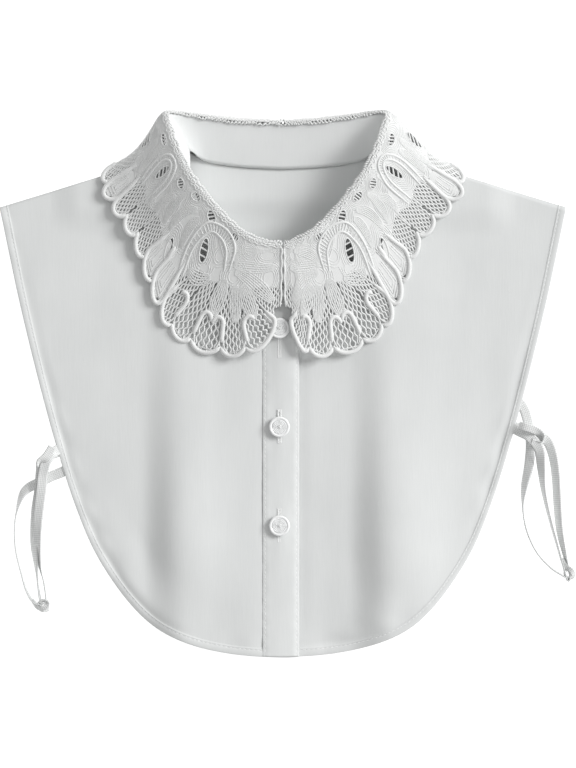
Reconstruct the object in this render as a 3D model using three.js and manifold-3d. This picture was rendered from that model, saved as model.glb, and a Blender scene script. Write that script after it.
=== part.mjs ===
// A dickey: a half shirt of white cotton with a buttoned front, a guipure lace collar and an elastic tie
// on each side, laid flat on its back. Millimetres, +Z up. +Y runs from the hem to the collar, and the
// origin lies under the middle of the cloth. The side of the placket that laps over is at -X.
import * as THREE from "three";
import Module from "manifold-3d";

const wasm = await Module();
wasm.setup();

// Driving sizes
const shoulderWidth = 368;
const hemY = -177;
const tipY = 115;
const clothThickness = 1.2;
const laceThickness = 1.4;
const seamGap = 0.3;
const laceRest = 2.4; // how far the back rises to lie on the lace that is folded under it
const neckRise = 2.7; // how far the fronts rise towards the collar stand
const neckRiseWidth = 45;
const hemWidth = 5;
const hemRaise = 0.5;
const foldHeight = 6; // of the soft folds, at the hem
const lapRaise = clothThickness + hemRaise + 2 * seamGap;
const placketLeft = -13;
const placketRight = 10.5;
const placketThickness = 1;
const collarShift = -4; // the worn-open neck leans this far to the lapped side
const buttonWidth = 13.4;
const buttonThickness = 2.4;
const buttonX = -2.3;
const buttonSpacing = 64;
const lowestButtonY = -91.5;
const strapWidth = 6.6;
const strapThickness = 1;

// The lace is charted flat: every lobe of its edge is 14 wide, and the band is 60 deep
const lobeWidth = 14;
const bandDepth = 60;
const lobeCount = 18;
const valleyDepth = 5.5;

// Half of the front neckline, from the middle to the neck point
const neckline = [
  { x: 0, y: 65.5 },
  { x: 20, y: 71 },
  { x: 38, y: 87 },
  { x: 50, y: 103 },
  { x: 58, y: 120 },
  { x: 62, y: 137 },
  { x: 62.5, y: 152 },
];

// Half of the hem and the open side, from the middle to the shoulder tip
const outerEdge = [
  { x: 0, y: hemY },
  { x: 34, y: -174.5 },
  { x: 60, y: -168.5 },
  { x: 82, y: -158.3 },
  { x: 99, y: -142.7 },
  { x: 120.6, y: -111.5 },
  { x: 134.3, y: -80 },
  { x: 149, y: -33.5 },
  { x: 169, y: 44.5 },
  { x: shoulderWidth / 2, y: tipY },
];

// Half of the back neckline, from the middle to the neck point
const backNeckline = [
  { x: 0, y: 140.3 },
  { x: 22, y: 140.8 },
  { x: 42, y: 143 },
  { x: 55, y: 147 },
  { x: 62.5, y: 152 },
];

// Soft folds that run down the fronts: where each crest lies, and how far it falls away to each side
const folds = [
  { crest: -63, leftWidth: 27, rightWidth: 95 },
  { crest: 72, leftWidth: 28, rightWidth: 72 },
];

// Half of the collar stand, from the centre front (0) round to the centre back (10)
const standSections = [
  { place: 0, seamX: 0, seamY: 67.6, foldX: 0, foldY: 89.5, foldZ: 20 },
  { place: 1, seamX: 16.6, seamY: 71.6, foldX: 16, foldY: 94, foldZ: 21.5 },
  { place: 2, seamX: 31, seamY: 82.5, foldX: 30, foldY: 103.5, foldZ: 23.5 },
  { place: 3, seamX: 45, seamY: 98.6, foldX: 42, foldY: 116.5, foldZ: 26 },
  { place: 4, seamX: 53.8, seamY: 114.8, foldX: 52.5, foldY: 129.5, foldZ: 28 },
  { place: 5, seamX: 60, seamY: 133, foldX: 61, foldY: 144.5, foldZ: 29 },
  { place: 6, seamX: 61, seamY: 146, foldX: 67, foldY: 160, foldZ: 28 },
  { place: 7, seamX: 60, seamY: 151.5, foldX: 70.5, foldY: 173.5, foldZ: 25 },
  { place: 8, seamX: 50, seamY: 145, foldX: 55, foldY: 173, foldZ: 20 },
  { place: 9, seamX: 26, seamY: 141.4, foldX: 28, foldY: 169.5, foldZ: 17.5 },
  { place: 10, seamX: 0, seamY: 140, foldX: 0, foldY: 168.3, foldZ: 16.5 },
];

// Half of the lace collar, from the centre front (lobe 0) round to the centre back (lobe 18). Each section
// rolls over the stand at its crest, leaves it towards "out", comes in from "low", and ends at its edge
const laceSections = [
  { lobe: 0, crestX: 0.2, crestY: 89.5, crestZ: 24.8, outX: 0.2, outY: 82, outZ: 23.8, lowX: 0.2, lowY: 58.5, lowZ: 13, edgeX: 1.2, edgeY: 37, edgeZ: 13 },
  { lobe: 1, crestX: 9, crestY: 91.5, crestZ: 25.1, outX: 10, outY: 84, outZ: 23.8, lowX: 14, lowY: 53, lowZ: 12.2, edgeX: 17.5, edgeY: 21.5, edgeZ: 12.4 },
  { lobe: 2, crestX: 18, crestY: 95, crestZ: 25.6, outX: 20, outY: 88, outZ: 24, lowX: 30, lowY: 51, lowZ: 9, edgeX: 35.5, edgeY: 20, edgeZ: 9 },
  { lobe: 3, crestX: 26, crestY: 100.5, crestZ: 26.1, outX: 29, outY: 94, outZ: 24.6, lowX: 46, lowY: 56, lowZ: 7, edgeX: 57, edgeY: 25.5, edgeZ: 6 },
  { lobe: 4, crestX: 33.5, crestY: 107.5, crestZ: 26, outX: 38, outY: 101, outZ: 25, lowX: 58, lowY: 67, lowZ: 6, edgeX: 71.5, edgeY: 38.5, edgeZ: 6 },
  { lobe: 6, crestX: 46.5, crestY: 122.5, crestZ: 28.5, outX: 53, outY: 117.5, outZ: 27.5, lowX: 71, lowY: 90, lowZ: 7, edgeX: 83.5, edgeY: 67, edgeZ: 6.5 },
  { lobe: 8, crestX: 57, crestY: 137, crestZ: 30.5, outX: 65, outY: 133, outZ: 29.5, lowX: 83, lowY: 113, lowZ: 9, edgeX: 95.5, edgeY: 96, edgeZ: 7.5 },
  { lobe: 10, crestX: 64.5, crestY: 152.5, crestZ: 30.5, outX: 73, outY: 151, outZ: 29.5, lowX: 92, lowY: 131, lowZ: 11, edgeX: 112, edgeY: 117.5, edgeZ: 8 },
  { lobe: 11, crestX: 68, crestY: 162.5, crestZ: 29, outX: 76.5, outY: 163, outZ: 28, lowX: 94.5, lowY: 139.5, lowZ: 11, edgeX: 117.5, edgeY: 128.5, edgeZ: 8 },
  { lobe: 12, crestX: 71, crestY: 174.5, crestZ: 26.5, outX: 78, outY: 178, outZ: 24, lowX: 88, lowY: 149, lowZ: 8, edgeX: 112.5, edgeY: 141.5, edgeZ: 4.4 },
  { lobe: 13, crestX: 60.5, crestY: 175, crestZ: 22.5, outX: 64, outY: 179.5, outZ: 21, lowX: 76, lowY: 168, lowZ: -3, edgeX: 100, edgeY: 138, edgeZ: 0.7 },
  { lobe: 14, crestX: 49.5, crestY: 173.3, crestZ: 20.8, outX: 50.5, outY: 177.5, outZ: 19.5, lowX: 58, lowY: 175, lowZ: -4, edgeX: 86, edgeY: 131, edgeZ: 0.7 },
  { lobe: 16, crestX: 25, crestY: 170.3, crestZ: 19, outX: 25.5, outY: 174.5, outZ: 18, lowX: 29, lowY: 173, lowZ: -4, edgeX: 47, edgeY: 127, edgeZ: 0.7 },
  { lobe: 18, crestX: 0.2, crestY: 169.3, crestZ: 18.3, outX: 0.2, outY: 173.3, outZ: 17.3, lowX: 0.2, lowY: 172, lowZ: -4, edgeX: 0.2, edgeY: 126, edgeZ: 0.7 },
];

// Open gaps between the motifs of the lace, in its flat chart: middle, length, width and turn in degrees
const laceGaps = [
  { x: 41, y: 9, length: 9, width: 6, turn: 15 },
  { x: 66, y: 9.5, length: 10, width: 6.5, turn: -20 },
  { x: 88, y: 9, length: 10, width: 6, turn: 10 },
  { x: 57, y: 26, length: 11, width: 6, turn: 125 },
  { x: 82, y: 41, length: 10, width: 5, turn: 115 },
  { x: 107, y: 13, length: 9, width: 5.5, turn: -15 },
  { x: 128, y: 22, length: 13, width: 6, turn: 80 },
  { x: 150, y: 11, length: 9, width: 5.5, turn: 0 },
  { x: 161, y: 28, length: 11, width: 5.5, turn: 90 },
  { x: 175, y: 13, length: 10, width: 5.5, turn: 0 },
  { x: 189, y: 28, length: 11, width: 5.5, turn: 90 },
  { x: 203, y: 11, length: 9, width: 5.5, turn: 0 },
  { x: 217, y: 28, length: 11, width: 5.5, turn: 90 },
  { x: 231, y: 13, length: 10, width: 5.5, turn: 0 },
];

// The elastic ties, as laid: where the middle of the band runs, its height, and how far it is turned on edge
const tieRoutes = {
  tie_loop_left: [
    { x: -144.8, y: -43, z: 4, turn: 0 },
    { x: -152, y: -46.5, z: 4, turn: 0 },
    { x: -156.5, y: -51, z: 4.6, turn: 15 },
    { x: -157.2, y: -58, z: 5, turn: 5 },
    { x: -158, y: -68, z: 5.2, turn: 0 },
    { x: -160.5, y: -84, z: 3.4, turn: 20 },
    { x: -161.5, y: -103, z: 3.2, turn: 40 },
    { x: -160, y: -121, z: 4, turn: 75 },
    { x: -158.6, y: -134, z: 4.4, turn: 90 },
    { x: -156.8, y: -142, z: 4.4, turn: 90 },
    { x: -153.6, y: -140, z: 4.4, turn: 90 },
    { x: -154.6, y: -130, z: 4.4, turn: 90 },
    { x: -157.6, y: -118, z: 4.4, turn: 105 },
    { x: -159.3, y: -101, z: 5.4, turn: 140 },
    { x: -158.6, y: -84, z: 5.4, turn: 165 },
    { x: -156.6, y: -68, z: 7, turn: 180 },
    { x: -155.6, y: -58, z: 6.2, turn: 175 },
    { x: -153.5, y: -50, z: 6.2, turn: 170 },
    { x: -149.5, y: -44.5, z: 5.6, turn: 180 },
    { x: -145, y: -41.4, z: 5.6, turn: 180 },
  ],
  tie_tail_left: [
    { x: -143.6, y: -56.5, z: 0.7, turn: 0 },
    { x: -150, y: -59.5, z: 0.8, turn: 0 },
    { x: -158, y: -63.5, z: 1, turn: 10 },
    { x: -167, y: -68.5, z: 1.8, turn: 35 },
    { x: -171.5, y: -77, z: 3.6, turn: 70 },
    { x: -174, y: -90, z: 4.2, turn: 90 },
    { x: -173.5, y: -107, z: 4.2, turn: 90 },
    { x: -170, y: -122, z: 4.2, turn: 90 },
    { x: -166.5, y: -134, z: 4.2, turn: 90 },
    { x: -162, y: -141.4, z: 4.2, turn: 90 },
    { x: -156, y: -143.2, z: 4.2, turn: 90 },
  ],
  tie_loop_right: [
    { x: 151.6, y: -27.5, z: 3.4, turn: 0 },
    { x: 159, y: -31, z: 4, turn: 0 },
    { x: 166, y: -33, z: 5, turn: 0 },
    { x: 171.5, y: -37, z: 5, turn: 15 },
    { x: 175, y: -46, z: 4.6, turn: 30 },
    { x: 177, y: -60, z: 4.4, turn: 40 },
    { x: 178, y: -78, z: 4.2, turn: 45 },
    { x: 179.5, y: -95, z: 4.2, turn: 55 },
    { x: 183, y: -112, z: 4.3, turn: 75 },
    { x: 186, y: -124, z: 4.4, turn: 90 },
    { x: 184.6, y: -127, z: 4.4, turn: 90 },
    { x: 182, y: -118, z: 4.4, turn: 90 },
    { x: 178, y: -104, z: 4.4, turn: 95 },
    { x: 172.5, y: -84, z: 4.4, turn: 100 },
    { x: 169, y: -68, z: 4.6, turn: 110 },
    { x: 167.5, y: -54, z: 5.8, turn: 135 },
    { x: 166, y: -42, z: 7, turn: 165 },
    { x: 160, y: -34, z: 6.4, turn: 180 },
    { x: 152, y: -29.5, z: 5, turn: 180 },
  ],
  tie_tail_right: [
    { x: 157, y: -17.5, z: 0.7, turn: 0 },
    { x: 159, y: -22, z: 0.8, turn: 0 },
    { x: 160.5, y: -31, z: 0.9, turn: 0 },
    { x: 161, y: -42, z: 1, turn: 8 },
    { x: 159.5, y: -54, z: 1.6, turn: 30 },
    { x: 156.5, y: -67, z: 3.2, turn: 60 },
    { x: 155.5, y: -80, z: 4.2, turn: 90 },
    { x: 158, y: -95, z: 4.2, turn: 90 },
    { x: 164.5, y: -109, z: 4.2, turn: 90 },
    { x: 173.6, y: -119, z: 4.2, turn: 90 },
    { x: 182.6, y: -124.9, z: 4.2, turn: 90 },
  ],
};

// 0 below from, 1 above to, and smooth between them
function ease(value, from, to) {
  return THREE.MathUtils.smoothstep(value, from, to);
}

// The value of a column of a table, on the smooth curve through its rows
function between(rows, key, at, column) {
  const last = rows.length - 1;
  const found = rows.findIndex((row, n) => n > 0 && at <= row[key]);
  const to = found < 0 ? last : found;
  const [a, b] = [rows[to - 1], rows[to]];
  const gap = b[key] - a[key];
  const slopeAt = (n) => {
    const [before, after] = [rows[Math.max(n - 1, 0)], rows[Math.min(n + 1, last)]];
    return ((after[column] - before[column]) / (after[key] - before[key])) * gap;
  };
  const s = (at - a[key]) / gap;
  return (
    a[column] * (1 + 2 * s) * (1 - s) ** 2 +
    slopeAt(to - 1) * s * (1 - s) ** 2 +
    b[column] * s * s * (3 - 2 * s) +
    slopeAt(to) * s * s * (s - 1)
  );
}

// A plane curve through the rows of a table, which starts at startX on the far side of the middle
function planCurve(rows, startX) {
  const start = rows.find((row) => row.x >= -startX);
  const points = rows.map((row) => new THREE.Vector3(row.x, row.y, 0));
  if (startX < 0) {
    const rise = ((start.y - rows[0].y) * (startX / start.x) ** 2) / 1;
    points.unshift(new THREE.Vector3(startX, rows[0].y + rise, 0));
  }
  return new THREE.CatmullRomCurve3(points, false, "centripetal");
}

const necklineCurve = planCurve(neckline, 0);
const necklineSamples = necklineCurve.getSpacedPoints(32);

function distanceToNeckline(x, y) {
  const point = new THREE.Vector3(Math.abs(x), y, 0);
  return Math.min(...necklineSamples.map((sample) => sample.distanceTo(point)));
}

// Height of the back's underside, which rises over the lace folded under it
function backUnder(x, y) {
  return laceRest * ease(y, 106, 122) * (1 - ease(Math.abs(x), 126, 142));
}

// The fronts on it begin to rise a little earlier, so that the two stay apart
function backTop(x, y) {
  return clothThickness + laceRest * ease(y, 96, 117) * (1 - ease(Math.abs(x), 131, 152));
}

// Height of the soft folds of the fronts
function foldRelief(x, y) {
  const height = foldHeight * (0.25 + 0.75 * (1 - ease(y, -150, 60)));
  const share = folds.reduce((sum, fold) => {
    const away = x - fold.crest;
    const reach = Math.abs(away) / (away < 0 ? fold.leftWidth : fold.rightWidth);
    return sum + (reach < 1 ? 0.5 + 0.5 * Math.cos(Math.PI * reach) : 0);
  }, 0);
  return height * share;
}

// Height of the underside of a front. The lapped front rides over the edge of the other one
function frontUnder(x, y, lapped) {
  const lap = lapped ? lapRaise * ease(x, placketLeft - 18, placketLeft - 3) : 0;
  const rise = neckRise * (1 - ease(distanceToNeckline(x, y), 0, neckRiseWidth));
  return backTop(x, y) + seamGap + foldRelief(x, y) + rise + lap;
}

// A mesh from points and quads or triangles, with its faces turned outwards
function closedGeometry(points, faces) {
  const index = faces.flatMap(([a, b, c, d]) => (d === undefined ? [a, b, c] : [a, b, c, a, c, d]));
  let volume = 0;
  for (let i = 0; i < index.length; i += 3) {
    const [a, b, c] = [points[index[i]], points[index[i + 1]], points[index[i + 2]]];
    volume += a.dot(new THREE.Vector3().crossVectors(b, c));
  }
  if (volume < 0) index.reverse();
  const geometry = new THREE.BufferGeometry().setFromPoints(points);
  geometry.setIndex(index);
  return geometry;
}

// A wall of cloth: a grid of outer points and one of inner points, joined all round the rim
function wall(columns, rows, outerAt, innerAt) {
  const points = [];
  [outerAt, innerAt].forEach((pointAt) => {
    for (let i = 0; i <= columns; i++) for (let j = 0; j <= rows; j++) points.push(pointAt(i, j));
  });
  const outer = (i, j) => i * (rows + 1) + j;
  const inner = (i, j) => outer(i, j) + (columns + 1) * (rows + 1);
  const faces = [];
  for (let i = 0; i < columns; i++) {
    for (let j = 0; j < rows; j++) {
      faces.push([outer(i, j), outer(i + 1, j), outer(i + 1, j + 1), outer(i, j + 1)]);
      faces.push([inner(i, j + 1), inner(i + 1, j + 1), inner(i + 1, j), inner(i, j)]);
    }
    faces.push([inner(i, 0), inner(i + 1, 0), outer(i + 1, 0), outer(i, 0)]);
    faces.push([outer(i, rows), outer(i + 1, rows), inner(i + 1, rows), inner(i, rows)]);
  }
  for (let j = 0; j < rows; j++) {
    faces.push([outer(0, j), outer(0, j + 1), inner(0, j + 1), inner(0, j)]);
    faces.push([inner(columns, j), inner(columns, j + 1), outer(columns, j + 1), outer(columns, j)]);
  }
  return closedGeometry(points, faces);
}

// A wall whose two faces are half its thickness to each side of a middle surface
function thickened(columns, rows, middleAt, thickness, lowest = -Infinity) {
  const normalAt = (i, j) => {
    const along = middleAt(Math.min(i + 0.4, columns), j).sub(middleAt(Math.max(i - 0.4, 0), j));
    const across = middleAt(i, Math.min(j + 0.3, rows)).sub(middleAt(i, Math.max(j - 0.3, 0)));
    return along.cross(across).normalize();
  };
  const offset = (sign) => (i, j) => {
    const point = middleAt(i, j).addScaledVector(normalAt(i, j), (sign * thickness) / 2);
    point.z = Math.max(point.z, lowest);
    return point;
  };
  return wall(columns, rows, offset(1), offset(-1));
}

// A front. Its rows run from the neckline to the hem, closest together at the raised hem
function frontGeometry(side) {
  const lapped = side < 0;
  const overlap = lapped ? -placketRight : placketLeft;
  const [neck, edge] = [planCurve(neckline, overlap), planCurve(outerEdge, overlap)];
  const hemRows = [hemWidth + 1.2, hemWidth, 0];
  const [columns, plainRows] = [20, 10];
  const rows = plainRows + hemRows.length;
  const planAt = (i, j) => {
    const [from, to] = [neck.getPointAt(i / columns), edge.getPointAt(i / columns)];
    const long = from.distanceTo(to);
    const plain = (j / plainRows) * (1 - hemRows[0] / long);
    const share = j <= plainRows ? plain : 1 - hemRows[j - plainRows] / long;
    return from.lerp(to, Math.min(share, 1));
  };
  const heightAt = (point) => frontUnder(side * point.x, point.y, lapped);
  const innerAt = (i, j) => {
    const point = planAt(i, Math.min(j, rows - 1));
    return new THREE.Vector3(side * point.x, point.y, heightAt(point));
  };
  const outerAt = (i, j) => {
    const raise = j > plainRows ? hemRaise : 0;
    return innerAt(i, j).add(new THREE.Vector3(0, 0, clothThickness + raise));
  };
  return wall(columns, rows - 1, outerAt, innerAt);
}

// The back, in one piece from side to side
function backGeometry() {
  const [neck, edge] = [planCurve(backNeckline, 0), planCurve(outerEdge, 0)];
  const [halfColumns, rows] = [15, 14];
  const innerAt = (i, j) => {
    const share = Math.abs(i - halfColumns) / halfColumns;
    const side = Math.sign(i - halfColumns) || 1;
    const closer = (j / rows) ** 1.3;
    const point = neck.getPointAt(share).lerp(edge.getPointAt(share), closer);
    return new THREE.Vector3(side * point.x, point.y, backUnder(point.x, point.y));
  };
  const outerAt = (i, j) => innerAt(i, j).add(new THREE.Vector3(0, 0, clothThickness));
  return wall(2 * halfColumns, rows, outerAt, innerAt);
}

// The folded band along the lapped front, on the points of that front
function placketGeometry() {
  const [columns, rows] = [4, 22];
  const innerAt = (i, j) => {
    const x = THREE.MathUtils.lerp(placketLeft, placketRight - 0.3, i / columns);
    const [top, bottom] = [neckline[0].y + 0.014 * x * x - 1.5, outerEdge[0].y + 0.002 * x * x + 0.5];
    const y = THREE.MathUtils.lerp(top, bottom, j / rows);
    return new THREE.Vector3(x, y, frontUnder(x, y, true) + clothThickness + hemRaise + seamGap);
  };
  const outerAt = (i, j) => innerAt(i, j).add(new THREE.Vector3(0, 0, placketThickness));
  return wall(columns, rows, outerAt, innerAt);
}

// The collar stand: a band round the neck whose ends lap at the centre front
function standGeometry() {
  const [halfColumns, rows] = [27, 3];
  const lastPlace = standSections.length - 1;
  const lapPlaces = 0.62;
  const baseAt = (i, j) => {
    const side = i < halfColumns ? -1 : 1;
    const share = 1 - Math.abs(i - halfColumns) / halfColumns;
    const place = lastPlace - (lastPlace + lapPlaces) * (1 - share);
    const flip = place < 0 ? -side : side;
    const column = (name) => between(standSections, "place", Math.abs(place), name);
    const seamX = flip * column("seamX");
    const seamY = column("seamY");
    const isBack = ease(column("place"), 7, 8.2);
    const onFront = frontUnder(seamX, seamY, false) + clothThickness + 0.6;
    const onBack = backUnder(seamX, seamY) + clothThickness + 1.7;
    const seamZ = THREE.MathUtils.lerp(onFront, onBack, isBack);
    const up = j / rows;
    const lean = collarShift * up;
    const raise = side < 0 ? lapRaise * (1 - ease(place, 1, 1.7)) : 0;
    return new THREE.Vector3(
      THREE.MathUtils.lerp(seamX, flip * column("foldX"), up) + lean,
      THREE.MathUtils.lerp(seamY, column("foldY"), up) - 0.5 * raise,
      THREE.MathUtils.lerp(seamZ, column("foldZ"), up) + raise * 0.87,
    );
  };
  return thickened(2 * halfColumns, rows, baseAt, clothThickness);
}

// The middle surface of half of the lace: x and y in its flat chart, the side that it lies on
function laceAt(chartX, chartY, side) {
  const lobe = THREE.MathUtils.clamp(chartX / lobeWidth, 0, lobeCount);
  const down = chartY / bandDepth;
  const column = (name) => between(laceSections, "lobe", lobe, name);
  const point = (name) => new THREE.Vector3(column(name + "X"), column(name + "Y"), column(name + "Z"));
  const curve = new THREE.CubicBezierCurve3(point("crest"), point("out"), point("low"), point("edge"));
  const place = curve.getPoint(down);
  const atEnds = ease(lobe, 0.3, 1.4) * ease(lobeCount - lobe, 0.3, 1.4);
  const faded = ease(down, 0, 0.8) * ease(lobe, 7, 11);
  place.x = side * place.x + collarShift * atEnds * (1 - faded);
  place.z = Math.max(place.z, laceThickness / 2);
  return place;
}

// How deep the lace is at a place along its chart, with its scalloped edge
function laceDepth(chartX) {
  const across = 2 * (((chartX / lobeWidth) % 1) - 0.5);
  return bandDepth - valleyDepth * (1 - Math.sqrt(Math.max(0, 1 - across * across)));
}

// A prism through the lace, round one of its gaps
function laceGapSolid(gap, side) {
  const [corners, reach] = [7, 2.4];
  const turn = THREE.MathUtils.degToRad(gap.turn);
  const at = (x, y) => laceAt(gap.x + x, gap.y + y, side);
  const normal = at(0.5, 0).sub(at(-0.5, 0)).cross(at(0, 0.5).sub(at(0, -0.5))).normalize();
  const ring = (height) =>
    Array.from({ length: corners }, (_, n) => {
      const angle = (2 * Math.PI * n) / corners;
      const long = (Math.cos(angle) * gap.length) / 2;
      const wide = (Math.sin(angle) * gap.width) / 2;
      const x = long * Math.cos(turn) - wide * Math.sin(turn);
      const y = long * Math.sin(turn) + wide * Math.cos(turn);
      return at(x, y).addScaledVector(normal, height);
    });
  const points = [...ring(-reach), ...ring(reach)];
  const faces = [];
  for (let n = 0; n < corners; n++) {
    const next = (n + 1) % corners;
    faces.push([n, next, next + corners, n + corners]);
    if (n > 0 && n < corners - 1) faces.push([0, n + 1, n], [corners, corners + n, corners + n + 1]);
  }
  return solidOf(closedGeometry(points, faces));
}

function solidOf(geometry) {
  const vertProperties = new Float32Array(geometry.getAttribute("position").array);
  return new wasm.Manifold(new wasm.Mesh({ numProp: 3, vertProperties, triVerts: new Uint32Array(geometry.index.array) }));
}

function geometryOf(solid) {
  const mesh = solid.getMesh();
  const geometry = new THREE.BufferGeometry();
  geometry.setAttribute("position", new THREE.BufferAttribute(new Float32Array(mesh.vertProperties), mesh.numProp));
  geometry.setIndex(new THREE.BufferAttribute(new Uint32Array(mesh.triVerts), 1));
  return geometry;
}

// Half of the lace collar, scalloped and cut through at its gaps
function laceGeometry(side) {
  const columnsPerLobe = 4;
  const rowPlaces = [0, 0.09, 0.24, 0.42, 0.63, 0.84, 1];
  const columns = columnsPerLobe * lobeCount;
  const rows = rowPlaces.length - 1;
  const middleAt = (i, j) => {
    const chartX = (i / columnsPerLobe) * lobeWidth;
    const row = Math.min(Math.floor(j), rows - 1);
    const share = THREE.MathUtils.lerp(rowPlaces[row], rowPlaces[row + 1], j - row);
    return laceAt(chartX, share * laceDepth(chartX), side);
  };
  const band = solidOf(thickened(columns, rows, middleAt, laceThickness, 0));
  const cutters = laceGaps.map((gap) => laceGapSolid(gap, side));
  return geometryOf(cutters.reduce((solid, cutter) => solid.subtract(cutter), band));
}

// A round button with a rim and a sunk middle
function buttonGeometry() {
  const radius = buttonWidth / 2;
  const profile = [
    [0, 0],
    [radius * 0.8, 0],
    [radius, buttonThickness * 0.35],
    [radius, buttonThickness * 0.75],
    [radius * 0.88, buttonThickness],
    [radius * 0.74, buttonThickness * 0.72],
    [0, buttonThickness * 0.8],
  ];
  const points = profile.map(([x, y]) => new THREE.Vector2(x, y));
  return new THREE.LatheGeometry(points, 16).rotateX(Math.PI / 2);
}

// A flat elastic band along its route
function tieGeometry(route) {
  const rows = route.map((row, place) => ({ ...row, place }));
  const stepsPerRow = 2;
  const steps = stepsPerRow * (rows.length - 1);
  const column = (name, at) => between(rows, "place", at, name);
  const placeAt = (at) => new THREE.Vector3(column("x", at), column("y", at), column("z", at));
  const corners = [[-1, -1], [1, -1], [1, 1], [-1, 1]];
  const points = [];
  const faces = [[3, 2, 1, 0]];
  for (let i = 0; i <= steps; i++) {
    const at = i / stepsPerRow;
    const forward = placeAt(Math.min(at + 0.1, rows.length - 1)).sub(placeAt(Math.max(at - 0.1, 0))).normalize();
    const level = new THREE.Vector3(-forward.y, forward.x, 0).normalize();
    const upright = new THREE.Vector3().crossVectors(forward, level);
    const turn = THREE.MathUtils.degToRad(column("turn", at));
    const wide = level.clone().multiplyScalar(Math.cos(turn)).addScaledVector(upright, Math.sin(turn));
    const thick = upright.clone().multiplyScalar(Math.cos(turn)).addScaledVector(level, -Math.sin(turn));
    const lowest = (strapWidth * Math.abs(wide.z) + strapThickness * Math.abs(thick.z)) / 2;
    const middle = placeAt(at);
    middle.z = Math.max(middle.z, lowest);
    corners.forEach(([u, v]) => {
      const point = middle.clone().addScaledVector(wide, (u * strapWidth) / 2);
      points.push(point.addScaledVector(thick, (v * strapThickness) / 2));
    });
    if (i > 0) {
      const [before, here] = [4 * (i - 1), 4 * i];
      for (let n = 0; n < 4; n++) {
        const next = (n + 1) % 4;
        faces.push([before + n, before + next, here + next, here + n]);
      }
    }
  }
  const end = 4 * steps;
  faces.push([end, end + 1, end + 2, end + 3]);
  return closedGeometry(points, faces);
}

const cotton = { color: "#e6e8e7", roughness: 0.85, metalness: 0 };
const lace = { color: "#eeefee", roughness: 0.9, metalness: 0 };
const buttonFinish = { color: "#eef0ef", roughness: 0.25, metalness: 0 };
const elastic = { color: "#dfe1e0", roughness: 0.8, metalness: 0 };

function piece(name, geometry, finish) {
  const mesh = new THREE.Mesh(geometry, new THREE.MeshStandardMaterial(finish));
  mesh.name = name;
  return mesh;
}

const dickey = new THREE.Group();
dickey.name = "dickey";
dickey.add(piece("back", backGeometry(), cotton));
dickey.add(piece("front_lapped", frontGeometry(-1), cotton));
dickey.add(piece("front_under", frontGeometry(1), cotton));
dickey.add(piece("placket", placketGeometry(), cotton));
dickey.add(piece("collar_stand", standGeometry(), cotton));
dickey.add(piece("lace_left", laceGeometry(-1), lace));
dickey.add(piece("lace_right", laceGeometry(1), lace));
["button_low", "button_middle", "button_high"].forEach((name, n) => {
  const button = piece(name, buttonGeometry(), buttonFinish);
  const y = lowestButtonY + n * buttonSpacing;
  const seat = frontUnder(buttonX, y, true) + clothThickness + hemRaise + placketThickness;
  button.position.set(buttonX, y, seat + 3 * seamGap);
  dickey.add(button);
});
Object.entries(tieRoutes).forEach(([name, route]) => dickey.add(piece(name, tieGeometry(route), elastic)));

export default dickey;
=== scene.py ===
"""A white cotton dickey with a guipure lace collar and elastic ties, laid flat on a pale floor."""

import math

import bmesh
import bpy
import numpy as np
from mathutils import Matrix, Vector

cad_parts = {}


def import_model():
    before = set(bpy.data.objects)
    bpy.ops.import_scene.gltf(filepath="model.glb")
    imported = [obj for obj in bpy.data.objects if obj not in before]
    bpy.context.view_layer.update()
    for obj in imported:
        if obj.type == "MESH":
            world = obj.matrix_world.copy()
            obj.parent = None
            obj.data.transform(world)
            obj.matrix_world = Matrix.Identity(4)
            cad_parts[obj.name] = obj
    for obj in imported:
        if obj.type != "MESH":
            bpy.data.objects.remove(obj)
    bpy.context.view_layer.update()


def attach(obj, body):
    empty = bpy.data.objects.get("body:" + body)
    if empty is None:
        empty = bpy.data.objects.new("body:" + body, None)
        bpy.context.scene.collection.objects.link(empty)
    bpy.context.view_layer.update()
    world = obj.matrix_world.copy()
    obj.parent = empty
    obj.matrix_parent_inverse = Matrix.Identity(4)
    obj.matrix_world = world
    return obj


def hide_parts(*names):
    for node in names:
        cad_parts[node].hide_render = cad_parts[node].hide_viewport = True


MM = 0.001

# Sizes in millimetres, as in the solids
CLOTH = 1.2
LACE = 1.4
SEAM_GAP = 0.3
LACE_REST = 2.4
NECK_RISE, NECK_RISE_WIDTH = 2.7, 45
HEM_RAISE = 0.5
FOLD_HEIGHT = 6
LAP_RAISE = CLOTH + HEM_RAISE + 2 * SEAM_GAP
PLACKET_LEFT, PLACKET_RIGHT = -13, 10.5
COLLAR_SHIFT = -4
BUTTON_WIDTH = 13.4
BUTTON_X = -2.3
BUTTON_Y = (-91.5, -27.5, 36.5)
BUTTONHOLES = ((-102, -80.5), (-38, -16.5), (17.5, 39))
TIE_WIDTH, TIE_THICKNESS = 6.6, 1
LOBE_WIDTH, BAND_DEPTH, LOBES, VALLEY = 14, 60, 18, 5.5
BAND_LENGTH = LOBE_WIDTH * LOBES

# Walls of the visible cloth, which is thinner than the solids
FRONT_WALL, PLACKET_WALL, STAND_WALL, LACE_WALL = 0.75, 0.65, 0.8, 0.55
# The placket's middle over the front's, and its edge a little inside the solid's
PLACKET_OVER, PLACKET_EDGE = 1.35, PLACKET_RIGHT - 0.3
# How far stitches lie from the edge of a hem and of the placket, their length and the space between two
HEM_STITCHES, PLACKET_STITCHES = 4.1, 1.4
STITCH, STITCH_SPACE = 2.1, 0.9
# The front's length in its grid, and how far up from the hem its rows lie close
FRONT_LONG, CLOSE_ROWS = 240, 12
# Where the lapped front starts and ends to rise over the other
LAP_FROM, LAP_TO = PLACKET_LEFT - 34, PLACKET_LEFT - 3
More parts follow.
